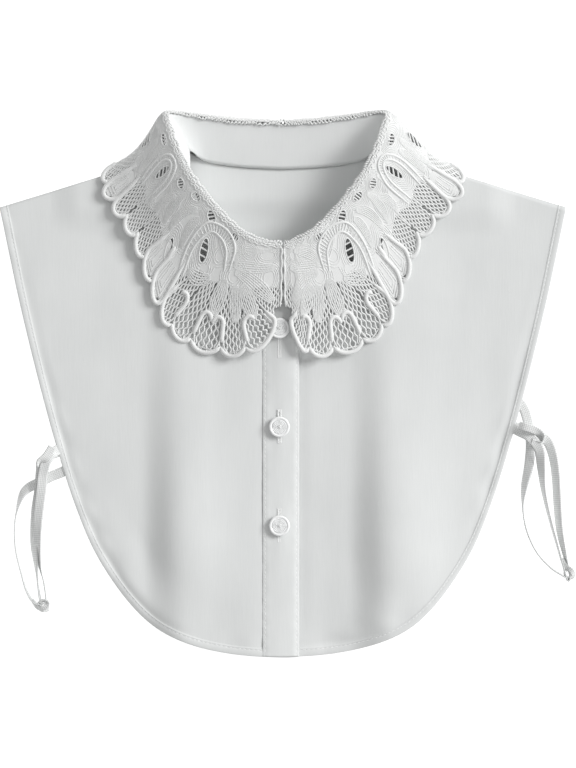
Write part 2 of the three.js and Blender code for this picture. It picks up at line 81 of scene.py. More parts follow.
# Worn folds: half of the flat crest, the steep and slow flanks to the left, the flank to the right
CREST, STEEP, SLOW, RIGHT_FLANK = 7, 24, 66, 46
STEEP_HEIGHT, SLOW_HEIGHT = 2, 0.7
# The net: between threads, the length of a hole, between points, and how far it runs under the solid part
NET_PITCH, NET_HOLE, NET_STEP, NET_UNDER = 1.55, 3.6, 0.42, 0.8
# The stitch of the braid
PLAIT = 2.7
# Each kind of thread in the lace: how far it lies over the middle surface, and its radius
LACE_THREADS = {
    "mesh": (0.0, 0.61), "rims": (0.15, 1.5), "cords": (0.3, 0.8), "borders": (0.3, 0.5),
    "gap_rims": (0.25, 0.5), "rows": (0.26, 0.33), "veins": (0.42, 0.3), "leaves": (0.2, 0.52),
}
# The view from above: the camera's height, the width that it sees and the middle of the picture
CAMERA_HEIGHT, VIEW_WIDTH, VIEW_MIDDLE = 2400, 374.4, (3.25, 0.3)

NECKLINE = [(0, 65.5), (20, 71), (38, 87), (50, 103), (58, 120), (62, 137), (62.5, 152)]
OUTER_EDGE = [
    (0, -177), (34, -174.5), (60, -168.5), (82, -158.3), (99, -142.7),
    (120.6, -111.5), (134.3, -80), (149, -33.5), (169, 44.5), (184, 115),
]
BACK_NECKLINE = [(0, 140.3), (22, 140.8), (42, 143), (55, 147), (62.5, 152)]

# Soft folds down the fronts: crest, and how far each falls away to the left and right
FOLDS = [(-63, 27, 95), (72, 28, 72)]

# Half of the collar stand: place, seam x y, fold x y z
STAND = np.array([
    (0, 0, 67.6, 0, 89.5, 20),
    (1, 16.6, 71.6, 16, 94, 21.5),
    (2, 31, 82.5, 30, 103.5, 23.5),
    (3, 45, 98.6, 42, 116.5, 26),
    (4, 53.8, 114.8, 52.5, 129.5, 28),
    (5, 60, 133, 61, 144.5, 29),
    (6, 61, 146, 67, 160, 28),
    (7, 60, 151.5, 70.5, 173.5, 25),
    (8, 50, 145, 55, 173, 20),
    (9, 26, 141.4, 28, 169.5, 17.5),
    (10, 0, 140, 0, 168.3, 16.5),
], float)

# Half of the lace: lobe, then crest, out, low and edge as x y z
LACE_SECTIONS = np.array([
    (0, 0.2, 89.5, 24.8, 0.2, 82, 23.8, 0.2, 58.5, 13, 1.2, 37, 13),
    (1, 9, 91.5, 25.1, 10, 84, 23.8, 14, 53, 12.2, 17.5, 21.5, 12.4),
    (2, 18, 95, 25.6, 20, 88, 24, 30, 51, 9, 35.5, 20, 9),
    (3, 26, 100.5, 26.1, 29, 94, 24.6, 46, 56, 7, 57, 25.5, 6),
    (4, 33.5, 107.5, 26, 38, 101, 25, 58, 67, 6, 71.5, 38.5, 6),
    (6, 46.5, 122.5, 28.5, 53, 117.5, 27.5, 71, 90, 7, 83.5, 67, 6.5),
    (8, 57, 137, 30.5, 65, 133, 29.5, 83, 113, 9, 95.5, 96, 7.5),
    (10, 64.5, 152.5, 30.5, 73, 151, 29.5, 92, 131, 11, 112, 117.5, 8),
    (11, 68, 162.5, 29, 76.5, 163, 28, 94.5, 139.5, 11, 117.5, 128.5, 8),
    (12, 71, 174.5, 26.5, 78, 178, 24, 88, 149, 8, 112.5, 141.5, 4.4),
    (13, 60.5, 175, 22.5, 64, 179.5, 21, 76, 168, -3, 100, 138, 0.7),
    (14, 49.5, 173.3, 20.8, 50.5, 177.5, 19.5, 58, 175, -4, 86, 131, 0.7),
    (16, 25, 170.3, 19, 25.5, 174.5, 18, 29, 173, -4, 47, 127, 0.7),
    (18, 0.2, 169.3, 18.3, 0.2, 173.3, 17.3, 0.2, 172, -4, 0.2, 126, 0.7),
], float)

# Open gaps of the lace in its flat chart: middle x y, length, width, turn in degrees
LACE_GAPS = [
    (41, 9, 9, 6, 15), (66, 9.5, 10, 6.5, -20), (88, 9, 10, 6, 10), (57, 26, 11, 6, 125),
    (82, 41, 10, 5, 115), (107, 13, 9, 5.5, -15), (128, 22, 13, 6, 80), (150, 11, 9, 5.5, 0),
    (161, 28, 11, 5.5, 90), (175, 13, 10, 5.5, 0), (189, 28, 11, 5.5, 90), (203, 11, 9, 5.5, 0),
    (217, 28, 11, 5.5, 90), (231, 13, 10, 5.5, 0),
]
# Other places that rows of stitches go round, given the same way
MOTIFS = [
    (11, 13, 6, 3.5, 20), (24, 12, 6, 3, -10), (9, 28, 7, 3, 100), (99, 27, 8, 3, 95), (73, 28, 8, 3, 80),
    (113, 30, 8, 3, 85), (143, 30, 8, 3, 90), (44, 22, 5, 3, 40),
    (31, 28, 4, 3, 0), (51, 32, 4, 2, 20),
]

# Pairs of heavy cords with short bars between them, which arch over the larger gaps
ARCHES = [
    [
        [(35, 27), (37, 14), (50, 8), (66, 14.5), (70, 29), (66, 43)],
        [(38, 28), (42, 19), (50, 15), (60, 17), (65, 29), (61.5, 42)],
    ],
    [
        [(117, 40), (115, 22), (123, 9.5), (135, 9.5), (141, 22), (138, 41)],
        [(121, 40), (119.5, 23), (125.5, 13.5), (133, 13.5), (137, 23), (134, 41)],
    ],
    [
        [(180, 41), (177, 27), (184, 15), (194, 15), (201, 27), (198, 41)],
        [(184, 41), (181.5, 28), (186, 19.5), (192, 19.5), (196.5, 28), (194, 41)],
    ],
    [
        [(208, 41), (206, 27), (212, 15), (222, 15), (229, 27), (226, 41)],
        [(212, 41), (210, 28), (214, 19.5), (220, 19.5), (224.5, 28), (222, 41)],
    ],
]

# Petals of the edge: root x y, tip x y, half width, its share at the root, and whether the petal is solid
PETALS = [
    (26, 28, 7.4, 59.8, 6.9, 0.4, False), (30, 27, 21.2, 60.6, 7.2, 0.4, False),
    (36, 28, 35.6, 60.8, 7.4, 0.4, False), (43, 30, 49.2, 60.2, 6.8, 0.45, False),
    (48, 32, 61.8, 59.8, 6.7, 0.5, False), (70, 34, 75, 60.5, 8.0, 0.6, True),
    (83, 36, 89.5, 60, 7.6, 0.6, True), (97, 35, 103.6, 59.6, 7.2, 0.8, False),
    (113, 33, 118, 60.3, 7.9, 0.9, False), (129, 34, 132.8, 60.2, 7.6, 0.9, False),
    (146, 38, 147, 60, 7.4, 0.7, True), (161, 34, 161, 60.2, 7.5, 0.9, False),
    (175, 33, 175, 60.3, 7.8, 0.9, False), (189, 34, 189, 60.2, 7.5, 0.9, False),
    (203, 37, 203, 60, 7.4, 0.7, True), (217, 33, 217, 60.2, 7.6, 0.9, False),
    (231, 33, 231, 60.3, 7.8, 0.9, False), (245, 34, 244.6, 59.8, 6.9, 0.9, False),
]

# Solid leaves of the lace: start, control point, end, width
LEAVES = [
    ((36, 30.5), (36.2, 38), (36.3, 46), 7.0), ((28.6, 32), (26, 38), (24, 47), 6.4),
    ((24.6, 31), (19, 37), (14.5, 46), 6.4), ((31, 26), (17, 25), (6.5, 41), 6.6),
    ((33, 23), (20, 21), (5.5, 22), 6.2), ((34, 22), (28, 12), (14, 10), 6.0),
    ((37, 23), (42, 19), (50, 15), 4.4), ((45, 33), (52, 39), (60, 37), 5.4),
    ((68, 17), (69, 27), (63, 40), 6.4), ((73, 17), (79, 23), (74, 35), 6.0),
    ((79, 15), (90, 20), (90, 35), 6.2), ((96, 14), (101, 24), (96, 36), 6.2),
    ((101, 22), (110, 26), (107, 38), 5.8), ((115, 12), (120, 24), (117, 38), 6.4),
    ((136, 13), (139, 24), (137, 38), 6.2), ((146, 19), (148, 28), (145, 38), 6.0),
    ((154, 17), (152, 28), (153, 40), 5.6), ((168, 15), (166, 28), (169, 40), 5.8),
    ((182, 15), (184, 28), (181, 40), 5.8), ((196, 17), (198, 28), (196, 40), 5.8),
    ((203, 18), (203, 28), (203, 38), 6.0), ((210, 17), (208, 28), (210, 40), 5.8),
    ((224, 15), (222, 28), (225, 40), 5.8), ((238, 15), (240, 28), (238, 40), 5.8),
]

# The ties: x, y, z, turn in degrees. Their ends go under the hems of the fronts
TIES = {
    "tie_loop_left": [
        (-144.3, -42.4, 1.6, 0), (-147.5, -44.2, 2.1, 0), (-152, -46.5, 3.6, 0), (-156.5, -51, 4.6, 15),
        (-157.2, -58, 5, 5),
        (-158, -68, 5.2, 0), (-160.5, -84, 3.4, 20), (-161.5, -103, 3.2, 40), (-160, -121, 4, 75),
        (-158.6, -134, 4.4, 90), (-156.8, -142, 4.4, 90), (-153.6, -140, 4.4, 90), (-154.6, -130, 4.4, 90),
        (-157.6, -118, 4.4, 105), (-159.3, -101, 5.4, 140), (-158.6, -84, 5.4, 165), (-156.6, -68, 7, 180),
        (-155.6, -58, 6.2, 175), (-153.5, -50, 6.2, 170), (-150, -45.2, 5, 180),
        (-147.2, -43.1, 3.1, 180), (-144.4, -41.5, 2.0, 180),
    ],
    "tie_tail_left": [
        (-139.8, -55, 1.8, 0), (-143.8, -57, 1.5, 0), (-150, -59.5, 0.8, 0), (-158, -63.5, 1, 10),
        (-167, -68.5, 1.8, 35),
        (-171.5, -77, 3.6, 70), (-174, -90, 4.2, 90), (-173.5, -107, 4.2, 90), (-170, -122, 4.2, 90),
        (-166.5, -134, 4.2, 90), (-162, -141.4, 4.2, 90), (-156, -143.2, 4.2, 90),
    ],
    "tie_loop_right": [
        (148.4, -26.3, 1.6, 0), (152, -28, 2.2, 0), (159, -31, 3.8, 0), (166, -33, 5, 0),
        (171.5, -37, 5, 15),
        (175, -46, 4.6, 30), (177, -60, 4.4, 40), (178, -78, 4.2, 45), (179.5, -95, 4.2, 55),
        (183, -112, 4.3, 75), (186, -124, 4.4, 90), (184.6, -127, 4.4, 90), (182, -118, 4.4, 90),
        (178, -104, 4.4, 95), (172.5, -84, 4.4, 100), (169, -68, 4.6, 110), (167.5, -54, 5.8, 135),
        (166, -42, 7, 165), (160, -34, 6, 180), (153.5, -30.4, 3.3, 180),
        (148.6, -28, 2.0, 180),
    ],
    "tie_tail_right": [
        (152.2, -10, 1.85, 0), (155.3, -13.8, 1.5, 0), (158, -19.5, 0.9, 0), (160.5, -31, 0.9, 0),
        (161, -42, 1, 8),
        (159.5, -54, 1.6, 30), (156.5, -67, 3.2, 60), (155.5, -80, 4.2, 90), (158, -95, 4.2, 90),
        (164.5, -109, 4.2, 90), (173.6, -119, 4.2, 90), (182.6, -124.9, 4.2, 90),
    ],
}

# Small knots of the ties
KNOTS = {
    "knot_left_top": [
        (-149.5, -40.5, 7.4, 10), (-151.5, -44, 8, 0), (-154, -47.5, 8.2, -10), (-157.4, -50, 7, -50),
        (-158.5, -52.5, 5.2, -90),
    ],
    "knot_right_top": [
        (153, -26.5, 6, 0), (157, -27.6, 8.2, 0), (162, -29.2, 8.6, 5), (165.6, -31, 8, 30),
        (168.4, -33.6, 6.6, 75), (168, -37.5, 6, 110), (164.5, -38.6, 6, 150), (161, -37.4, 6.8, 170),
    ],
    "knot_left_low": [
        (-163, -139.5, 4.6, 60), (-159, -144.6, 5.4, 40), (-154.6, -144.8, 6.8, 10),
        (-152.6, -141.6, 7.4, -30),
        (-155.4, -140.2, 7, -60), (-158.6, -142.6, 5.6, -80), (-156.6, -146.2, 3.6, -60),
        (-151.6, -145.6, 3.2, -30),
    ],
    "knot_right_low": [
        (180.6, -113, 5, 60), (183.6, -118, 6.4, 40), (187, -120.4, 7.6, 10), (188.2, -124, 7, -30),
        (185, -125.6, 6.2, -60), (182.6, -122.6, 5.6, -80), (184.6, -119, 4.4, -60),
    ],
}


# Curves and surfaces


def ease(value, low, high):
    share = np.clip((np.asarray(value, float) - low) / (high - low), 0, 1)
    return share * share * (3 - 2 * share)


def bell(value, middle, width):
    return np.exp(-(((value - middle) / width) ** 2))


def unit(vectors):
    return vectors / np.linalg.norm(vectors, axis=-1, keepdims=True)


def aside_of(ahead):
    """The directions to the left of directions in a plan."""
    return np.stack([-ahead[..., 1], ahead[..., 0]], -1)


def compass(turn):
    return np.array([math.cos(math.radians(turn)), math.sin(math.radians(turn))])


def distances(line):
    """How far along a line each of its points lies."""
    return np.concatenate([[0], np.cumsum(np.linalg.norm(np.diff(line, axis=0), axis=1))])


def through(keys, values, at):
    """The smooth curve through a table's rows."""
    keys, values, at = (np.asarray(a, float) for a in (keys, values, at))
    at = np.clip(at, keys[0], keys[-1])
    last = len(keys) - 1
    n = np.arange(last + 1)
    before, after = np.maximum(n - 1, 0), np.minimum(n + 1, last)
    slopes = (values[after] - values[before]) / (keys[after] - keys[before])
    end = np.clip(np.searchsorted(keys, at), 1, last)
    start = end - 1
    gap = keys[end] - keys[start]
    s = (at - keys[start]) / gap
    held = values[start] * (1 + 2 * s) * (1 - s) ** 2 + values[end] * s * s * (3 - 2 * s)
    return held + gap * (slopes[start] * s * (1 - s) ** 2 + slopes[end] * s * s * (s - 1))


def plan_curve(rows, start_x=0):
    """A centripetal curve through plan points, as a function of its share of length."""
    points = [np.array(row, float) for row in rows]
    if start_x < 0:
        near = next(p for p in points if p[0] >= -start_x)
        rise = (near[1] - points[0][1]) * (start_x / near[0]) ** 2
        points.insert(0, np.array([start_x, points[0][1] + rise]))
    line = [2 * points[0] - points[1], *points, 2 * points[-1] - points[-2]]
    dense = []
    for p0, p1, p2, p3 in zip(line, line[1:], line[2:], line[3:]):
        pairs = ((p0, p1), (p1, p2), (p2, p3))
        d0, d1, d2 = (max(np.linalg.norm(b - a) ** 0.5, 1e-4) for a, b in pairs)
        t1 = ((p1 - p0) / d0 - (p2 - p0) / (d0 + d1) + (p2 - p1) / d1) * d1
        t2 = ((p2 - p1) / d1 - (p3 - p1) / (d1 + d2) + (p3 - p2) / d2) * d1
        s = np.linspace(0, 1, 40, endpoint=False)[:, None]
        cubic = (2 * p1 - 2 * p2 + t1 + t2) * s**3 + (-3 * p1 + 3 * p2 - 2 * t1 - t2) * s**2
        dense.append(cubic + t1 * s + p1)
    dense = np.vstack([*dense, points[-1][None]])
    length = distances(dense)

    def at(share):
        place = np.asarray(share) * length[-1]
        return np.stack([np.interp(place, length, dense[:, k]) for k in (0, 1)], -1)

    return at


NECK_SAMPLES = plan_curve(NECKLINE)(np.linspace(0, 1, 65))


def from_neckline(x, y):
    place = np.stack([np.abs(x), y], -1)[..., None, :]
    return np.linalg.norm(place - NECK_SAMPLES, axis=-1).min(-1)


def back_under(x, y):
    return LACE_REST * ease(y, 106, 122) * (1 - ease(np.abs(x), 126, 142))


def back_top(x, y):
    return CLOTH + LACE_REST * ease(y, 96, 117) * (1 - ease(np.abs(x), 131, 152))


def fold_relief(x, y):
    height = FOLD_HEIGHT * (0.25 + 0.75 * (1 - ease(y, -150, 60)))
    share = 0
    for crest, left, right in FOLDS:
        away = x - crest
        reach = np.abs(away) / np.where(away < 0, left, right)
        share = share + np.where(reach < 1, 0.5 + 0.5 * np.cos(np.pi * np.minimum(reach, 1)), 0)
    return height * share


def front_under(x, y, lapped):
    lap = LAP_RAISE * ease(x, LAP_FROM, LAP_TO) if lapped else 0
    rise = NECK_RISE * (1 - ease(from_neckline(x, y), 0, NECK_RISE_WIDTH))
    return back_top(x, y) + SEAM_GAP + fold_relief(x, y) + rise + lap


def ripple(x, y):
    """Small creases of pressed cotton that has been worn and laid down."""
    long = np.sin(x / 8.3 + 0.9 * np.sin(y / 61 + 0.4)) * np.sin(y / 74 + x / 90 + 1.1)
    short = np.sin(x / 4.1 - y / 47 + 0.7) * np.sin(y / 33 - x / 51)
    slant = np.sin((x + 0.8 * y) / 17 + 1.7) * np.sin((x - 0.6 * y) / 39 + 0.3)
    return 0.16 * long + 0.05 * short + 0.12 * slant


def fold_edge(x, y):
    """What the worn cloth adds to each fold: a steeper flank on the left, which runs out slowly."""
    share = 0
    for crest, _, _ in FOLDS:
        away = x - crest
        steep = np.clip(np.where(away < 0, (-away - CREST) / STEEP, away / RIGHT_FLANK), 0, 1)
        slow = np.clip(np.where(away < 0, -away / SLOW, away / RIGHT_FLANK), 0, 1)
        share = share + STEEP_HEIGHT * (1 + np.cos(np.pi * steep))
        share = share + SLOW_HEIGHT * (1 + np.cos(np.pi * slow))
    return share * (0.2 + 0.8 * (1 - ease(y, -140, 30)))


def front_top(x, y, lapped):
    beside = -0.6 * bell(x, PLACKET_RIGHT + 0.5, 4.5)
    worn = ripple(x, y) + beside + fold_edge(x, y) * ease(y + 160, 0, 60)
    return front_under(x, y, lapped) + CLOTH + worn * ease(from_neckline(x, y), 2, 30)


def lace_depth(u):
    across = 2 * ((np.asarray(u, float) / LOBE_WIDTH) % 1 - 0.5)
    return BAND_DEPTH - VALLEY * (1 - np.sqrt(np.maximum(0, 1 - across**2)))


def lace_middle(u, v, side):
    """The middle surface of half of the lace. Inside the crest (v < 0) it turns down over the stand."""
    lobe = np.clip(np.asarray(u, float) / LOBE_WIDTH, 0, LOBES)
    columns = [through(LACE_SECTIONS[:, 0], LACE_SECTIONS[:, k], lobe) for k in range(1, 13)]
    crest, out, low, edge = (np.stack(columns[k : k + 3], -1) for k in (0, 3, 6, 9))
    down = (np.maximum(v, 0) / BAND_DEPTH)[..., None]
    place = crest * (1 - down) ** 3 + 3 * out * down * (1 - down) ** 2
    place = place + 3 * low * down**2 * (1 - down) + edge * down**3
    inside = np.minimum(v, 0)
    place = place + unit(crest - out) * -inside[..., None]
    place[..., 2] -= 0.13 * inside**2
    at_ends = ease(lobe, 0.3, 1.4) * ease(LOBES - lobe, 0.3, 1.4)
    faded = ease(down[..., 0], 0, 0.8) * ease(lobe, 7, 11)
    place[..., 0] = side * place[..., 0] + COLLAR_SHIFT * at_ends * (1 - faded)
    place[..., 2] = np.maximum(place[..., 2], LACE / 2)
    return place


def on_lace(u, v, side, lift):
    """A point of the flat chart, laid on the lace and raised from its middle."""
    u, v = np.broadcast_arrays(np.asarray(u, float), np.asarray(v, float))
    along = lace_middle(u + 0.4, v, side) - lace_middle(u - 0.4, v, side)
    across = lace_middle(u, v + 0.4, side) - lace_middle(u, v - 0.4, side)
    normal = side * np.cross(across, along)
    normal /= np.maximum(np.linalg.norm(normal, axis=-1, keepdims=True), 1e-9)
    return lace_middle(u, v, side) + normal * np.asarray(lift, float)[..., None]


def stand_middle(s, t):
    """The stand from its lapped end (s = 0) round the neck to its other end, and from seam to fold."""
    last, lap = 10, 0.62
    side = np.where(s < 0.5, -1, 1)
    place = last - (last + lap) * 2 * np.abs(s - 0.5)
    flip = np.where(place < 0, -side, side)
    seam_x, seam_y, fold_x, fold_y, fold_z = (
        through(STAND[:, 0], STAND[:, k], np.abs(place)) for k in range(1, 6)
    )
    seam_x, fold_x = flip * seam_x, flip * fold_x
    on_front = front_under(seam_x, seam_y, False) + CLOTH + SEAM_GAP
    on_back = back_under(seam_x, seam_y) + CLOTH + 0.75
    seam_z = on_front + (on_back - on_front) * ease(place, 7, 8.2)
    raised = np.where(s < 0.5, LAP_RAISE * (1 - ease(place, 1, 1.7)), 0)
    return np.stack([
        seam_x + (fold_x - seam_x) * t + COLLAR_SHIFT * t,
        seam_y + (fold_y - seam_y) * t - 0.5 * raised,
        seam_z + (fold_z - seam_z) * t + raised * 0.87,
    ], -1)


# Meshes


def add_object(name, data):
    obj = bpy.data.objects.new(name, data)
    bpy.context.scene.collection.objects.link(obj)
    return obj


def smooth_object(name, mesh, material):
    mesh.materials.append(material)
    mesh.polygons.foreach_set("use_smooth", [True] * len(mesh.polygons))
    return add_object(name, mesh)


def finish_mesh(name, bm, material):
    mesh = bpy.data.meshes.new(name)
    bm.to_mesh(mesh)
    bm.free()
    return smooth_object(name, mesh, material)


def add_wall(obj, thickness, offset=-1):
    wall = obj.modifiers.new("wall", "SOLIDIFY")
    wall.thickness, wall.offset = thickness * MM, offset


def dress(piece, node=None):
    """Put a piece on the part's one body, and in the place of its solid."""
    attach(piece, "root")
    if node:
        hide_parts(node)


def cloth_sheet(name, material, columns, rows, place, thickness, facing, across=None, down=None):
    """A grid laid on place(s, t) and turned to face that way, with its thickness behind it."""
    bm = bmesh.new()
    bm.loops.layers.uv.new("cloth")
    bmesh.ops.create_grid(bm, x_segments=columns, y_segments=rows, size=0.5, calc_uvs=True)
    bm.verts.ensure_lookup_table()
    st = np.array([v.co[:2] for v in bm.verts]) + 0.5
    s = st[:, 0] if across is None else np.interp(st[:, 0] * columns, np.arange(columns + 1), across)
    t = st[:, 1] if down is None else np.interp(st[:, 1] * rows, np.arange(rows + 1), down)
    points = place(s, t) * MM
    for vert, point in zip(bm.verts, points):
        vert.co = point
    bm.normal_update()
    lean = sum(f.normal.dot(facing(f.calc_center_median())) * f.calc_area() for f in bm.faces)
    if lean < 0:
        bmesh.ops.reverse_faces(bm, faces=bm.faces)
    obj = finish_mesh(name, bm, material)
    add_wall(obj, thickness)
    return obj


def thinner_ends(s):
    return np.minimum(1, 0.4 + 7 * np.minimum(s, 1 - s))


def threads(name, lines, radius, material, sides=4, closed=(), taper=None):
    """Threads or cords along open and closed lines, with a taper that gives their share of the radius."""
    data = bpy.data.curves.new(name, "CURVE")
    data.dimensions = "3D"
    data.bevel_depth = radius * MM
    data.bevel_resolution = (sides - 4) // 2
    data.use_fill_caps = True
    for number, line in enumerate([*lines, *closed]):
        spline = data.splines.new("POLY")
        spline.points.add(len(line) - 1)
        spline.points.foreach_set("co", np.hstack([line * MM, np.ones((len(line), 1))]).ravel())
        spline.use_cyclic_u = number >= len(lines)
        if taper is not None:
            spline.points.foreach_set("radius", np.asarray(taper(np.linspace(0, 1, len(line))), float))
    curve = add_object(name + "_line", data)
    mesh = bpy.data.meshes.new_from_object(curve.evaluated_get(bpy.context.evaluated_depsgraph_get()))
    bpy.data.objects.remove(curve)
    mesh.name = name
    mesh.materials.clear()
    return smooth_object(name, mesh, material)


def stitches(line):
    """Short straight stitches along a line, with their ends in the cloth."""
    steps = distances(line)
    starts = np.arange(0.3, steps[-1] - STITCH, STITCH + STITCH_SPACE)
    places = starts[:, None] + np.array([0, 0.12, 0.5, 0.88, 1]) * STITCH
    points = np.stack([np.interp(places, steps, line[:, k]) for k in range(3)], -1)
    points[:, [0, 4], 2] -= 0.22
    return list(points)


# Materials


class Wire:
    """A number that varies over a surface, so that maths on it can be written as Python."""

    def __init__(self, look, socket):
        self.look, self.socket = look, socket

    def maths(self, operation, other):
        return self.look.node("ShaderNodeMath", {"operation": operation}, {0: self, 1: other})[0]

    def __add__(self, other):
        return self.maths("ADD", other)

    def __mul__(self, other):
        return self.maths("MULTIPLY", other)

    __radd__ = __add__


class Look:
    """A material under construction."""

    def __init__(self, name):
        self.material = bpy.data.materials.new(name)
        self.material.use_nodes = True
        self.tree = self.material.node_tree
        self.shader = self.tree.nodes["Principled BSDF"]

    def put(self, node, key, value):
        if isinstance(value, Wire):
            self.tree.links.new(value.socket, node.inputs[key])
        else:
            node.inputs[key].default_value = value

    def node(self, kind, settings=(), inputs=()):
        made = self.tree.nodes.new(kind)
        for key, value in dict(settings).items():
            setattr(made, key, value)
        for key, value in dict(inputs).items():
            self.put(made, key, value)
        return [Wire(self, out) for out in made.outputs]

    def place(self, scale=(1, 1, 1), kind="Object"):
        spot = {"Object": 3, "UV": 2}[kind]
        coordinates = self.node("ShaderNodeTexCoord")[spot]
        return self.node("ShaderNodeMapping", {}, {"Vector": coordinates, "Scale": scale})[0]

    def noise(self, vector, scale, detail=2.0):
        inputs = {"Vector": vector, "Scale": scale, "Detail": detail}
        return self.node("ShaderNodeTexNoise", {}, inputs)[0]

    def bands(self, vector, direction, scale, distortion=0.0):
        settings = {"wave_type": "BANDS", "bands_direction": direction}
        inputs = {"Vector": vector, "Scale": scale, "Distortion": distortion}
        return self.node("ShaderNodeTexWave", settings, inputs)[1]

    def tint(self, share, dark, light):
        inputs = {0: share, 6: (*dark, 1), 7: (*light, 1)}
        return self.node("ShaderNodeMix", {"data_type": "RGBA"}, inputs)[2]

    def bump(self, height, strength, distance):
        inputs = {"Strength": strength, "Distance": distance * MM, "Height": height}
        return self.node("ShaderNodeBump", {}, inputs)[0]

    def finish(self, **inputs):
        """Set the shader's inputs, whose names are written here with _ for each space."""
        for key, value in inputs.items():
            self.put(self.shader, key.replace("_", " "), value)
        return self.material


def cotton_look(name, lighter=0.0):
    look = Look(name)
    place = look.place()
    warp = look.bands(place, "X", 900, 1.5)
    weft = look.bands(place, "Y", 700, 1.5)
    weave = warp * 0.6 + weft * 0.4
    slubs = look.noise(look.place((6, 0.5, 1)), 160, 3)
    cloudy = look.noise(place, 22, 3)
    # The tone is a random cloud and the slubs, with a small share of the weave as painted shade between
    # its threads.
    tone = cloudy * 0.65 + slubs * 0.3 + weave * 0.05
    shades = (0.64, 0.655, 0.652), (0.76, 0.77, 0.765)
    colour = look.tint(tone, *([c + lighter for c in shade] for shade in shades))
    creased = look.noise(look.place((1, 0.35, 1)), 60, 4)
    normal = look.bump(weave * 0.06 + slubs * 0.3 + creased * 1.2, 0.35, 0.35)
    rough = 0.72 + slubs * 0.2
    return look.finish(
        Base_Color=colour, Roughness=rough, Normal=normal, Sheen_Weight=0.15, Specular_IOR_Level=0.25
    )


def lace_look(name, satin):
    look = Look(name)
    place = look.place()
    fuzz = look.noise(place, 900, 3)
    cloudy = look.noise(place, 60, 2)
    if satin:
        rows = look.bands(look.place(kind="UV"), "X", 3.2, 0.6)
        height = rows * 0.35 + fuzz * 0.65
    else:
        twist = look.bands(look.place((1, 1, 1.4)), "DIAGONAL", 520, 3.0)
        height = twist * 0.5 + fuzz * 0.5
    # The colour follows the height of the twist and the satin rows: painted shade in their grooves and
    # painted light on their ridges, mixed with a random cloudy tone.
    tone = height * 0.6 + cloudy * 0.4
    colour = look.tint(tone, (0.69, 0.70, 0.695), (0.84, 0.845, 0.84))
    normal = look.bump(height, 0.5, 0.2)
    rough = 0.62 + fuzz * 0.3
    return look.finish(
        Base_Color=colour, Roughness=rough, Normal=normal, Sheen_Weight=0.2, Specular_IOR_Level=0.3
    )


def button_look():
    look = Look("clear_white_button")
    cloudy = look.noise(look.place(), 260, 3)
    colour = look.tint(cloudy, (0.84, 0.85, 0.85), (0.95, 0.955, 0.955))
    normal = look.bump(look.noise(look.place(), 700, 2), 0.15, 0.2)
    rough = 0.16 + cloudy * 0.16
    return look.finish(Base_Color=colour, Roughness=rough, Normal=normal, Coat_Weight=0.5, IOR=1.5)


def elastic_look():
    look = Look("ribbed_elastic")
    across = look.bands(look.place(kind="UV"), "X", 2.9, 0.6)
    along = look.bands(look.place(kind="UV"), "Y", 2.5, 0.6)
    fuzz = look.noise(look.place(), 800, 3)
    height = across * 0.4 + along * 0.4 + fuzz * 0.2
    # The colour follows the ribs: painted shade between them and painted light on their tops, with a
    # little random fuzz.
    colour = look.tint(height, (0.56, 0.575, 0.57), (0.95, 0.955, 0.95))
    normal = look.bump(height, 0.6, 0.3)
    return look.finish(Base_Color=colour, Roughness=0.7 + fuzz * 0.2, Normal=normal, Sheen_Weight=0.15)


def thread_look():
    look = Look("sewing_thread")
    fuzz = look.noise(look.place(), 1200, 2)
    colour = look.tint(fuzz, (0.80, 0.81, 0.805), (0.93, 0.935, 0.93))
    return look.finish(Base_Color=colour, Roughness=0.6 + fuzz * 0.2, Normal=look.bump(fuzz, 0.4, 0.1))


def floor_look():
    look = Look("pale_floor")
    cloudy = look.noise(look.place(), 3, 2)
    colour = look.tint(cloudy, (0.55, 0.55, 0.55), (0.58, 0.58, 0.58))
    rough = 0.9 + cloudy * 0.05
    return look.finish(
        Base_Color=colour, Roughness=rough, Emission_Color=(1, 1, 1, 1), Emission_Strength=0.8,
        Specular_IOR_Level=0.1,
    )


# The camera and the ties


def camera():
    lens = bpy.data.cameras.new("camera")
    lens.sensor_fit = "HORIZONTAL"
    lens.sensor_width = 36
    lens.lens = lens.sensor_width * CAMERA_HEIGHT / VIEW_WIDTH
    lens.clip_end = 20
    viewer = add_object("camera", lens)
    viewer.location = [c * MM for c in (*VIEW_MIDDLE, CAMERA_HEIGHT)]
    bpy.context.scene.camera = viewer


def ribbon(name, rows, material, width=TIE_WIDTH):
    """Flat elastic along rows of x, y, z and turn, with its middle line."""
    rows = np.array(rows, float)
    keys = np.arange(len(rows))
    share = np.linspace(0, 1, 40 * len(rows))
    line = np.stack([through(keys, rows[:, k], share * keys[-1]) for k in range(3)], -1)
    steps = distances(line)
    length = steps[-1]
    forward = unit(np.gradient(line, steps, axis=0))
    turn = np.radians(through(keys, rows[:, 3], share * keys[-1]))[:, None]
    level = unit(np.stack([-forward[:, 1], forward[:, 0], 0 * forward[:, 0]], -1))
    upright = np.cross(forward, level)
    wide = level * np.cos(turn) + upright * np.sin(turn)
    thick = upright * np.cos(turn) - level * np.sin(turn)
    lowest = (width * np.abs(wide[:, 2]) + TIE_THICKNESS * np.abs(thick[:, 2])) / 2
    line[:, 2] = np.maximum(line[:, 2], lowest)

    def place(s, t):
        at = t * length
        middle, across, up = (
            np.stack([np.interp(at, steps, a[:, k]) for k in range(3)], -1) for a in (line, wide, thick)
        )
        rib = 0.09 * np.sin(at / 1.25 * 2 * np.pi) - 0.12 * np.abs(2 * s - 1) ** 6
        out = TIE_THICKNESS / 2 - rib_room + rib
        return middle + across * ((s - 0.5) * width)[:, None] + up * out[:, None]

    rib_room, grid_step = 0.12, 0.42
    wall, facing = TIE_THICKNESS - rib_room, Vector(thick[0])
    rows_along = int(length / grid_step)
    piece = cloth_sheet(name + "_elastic", material, 6, rows_along, place, wall, lambda _: facing)
    for loop in piece.data.uv_layers[0].data:
        loop.uv = (loop.uv[0] * width / 10, loop.uv[1] * length / 10)
    dress(piece)
    return piece, line, length


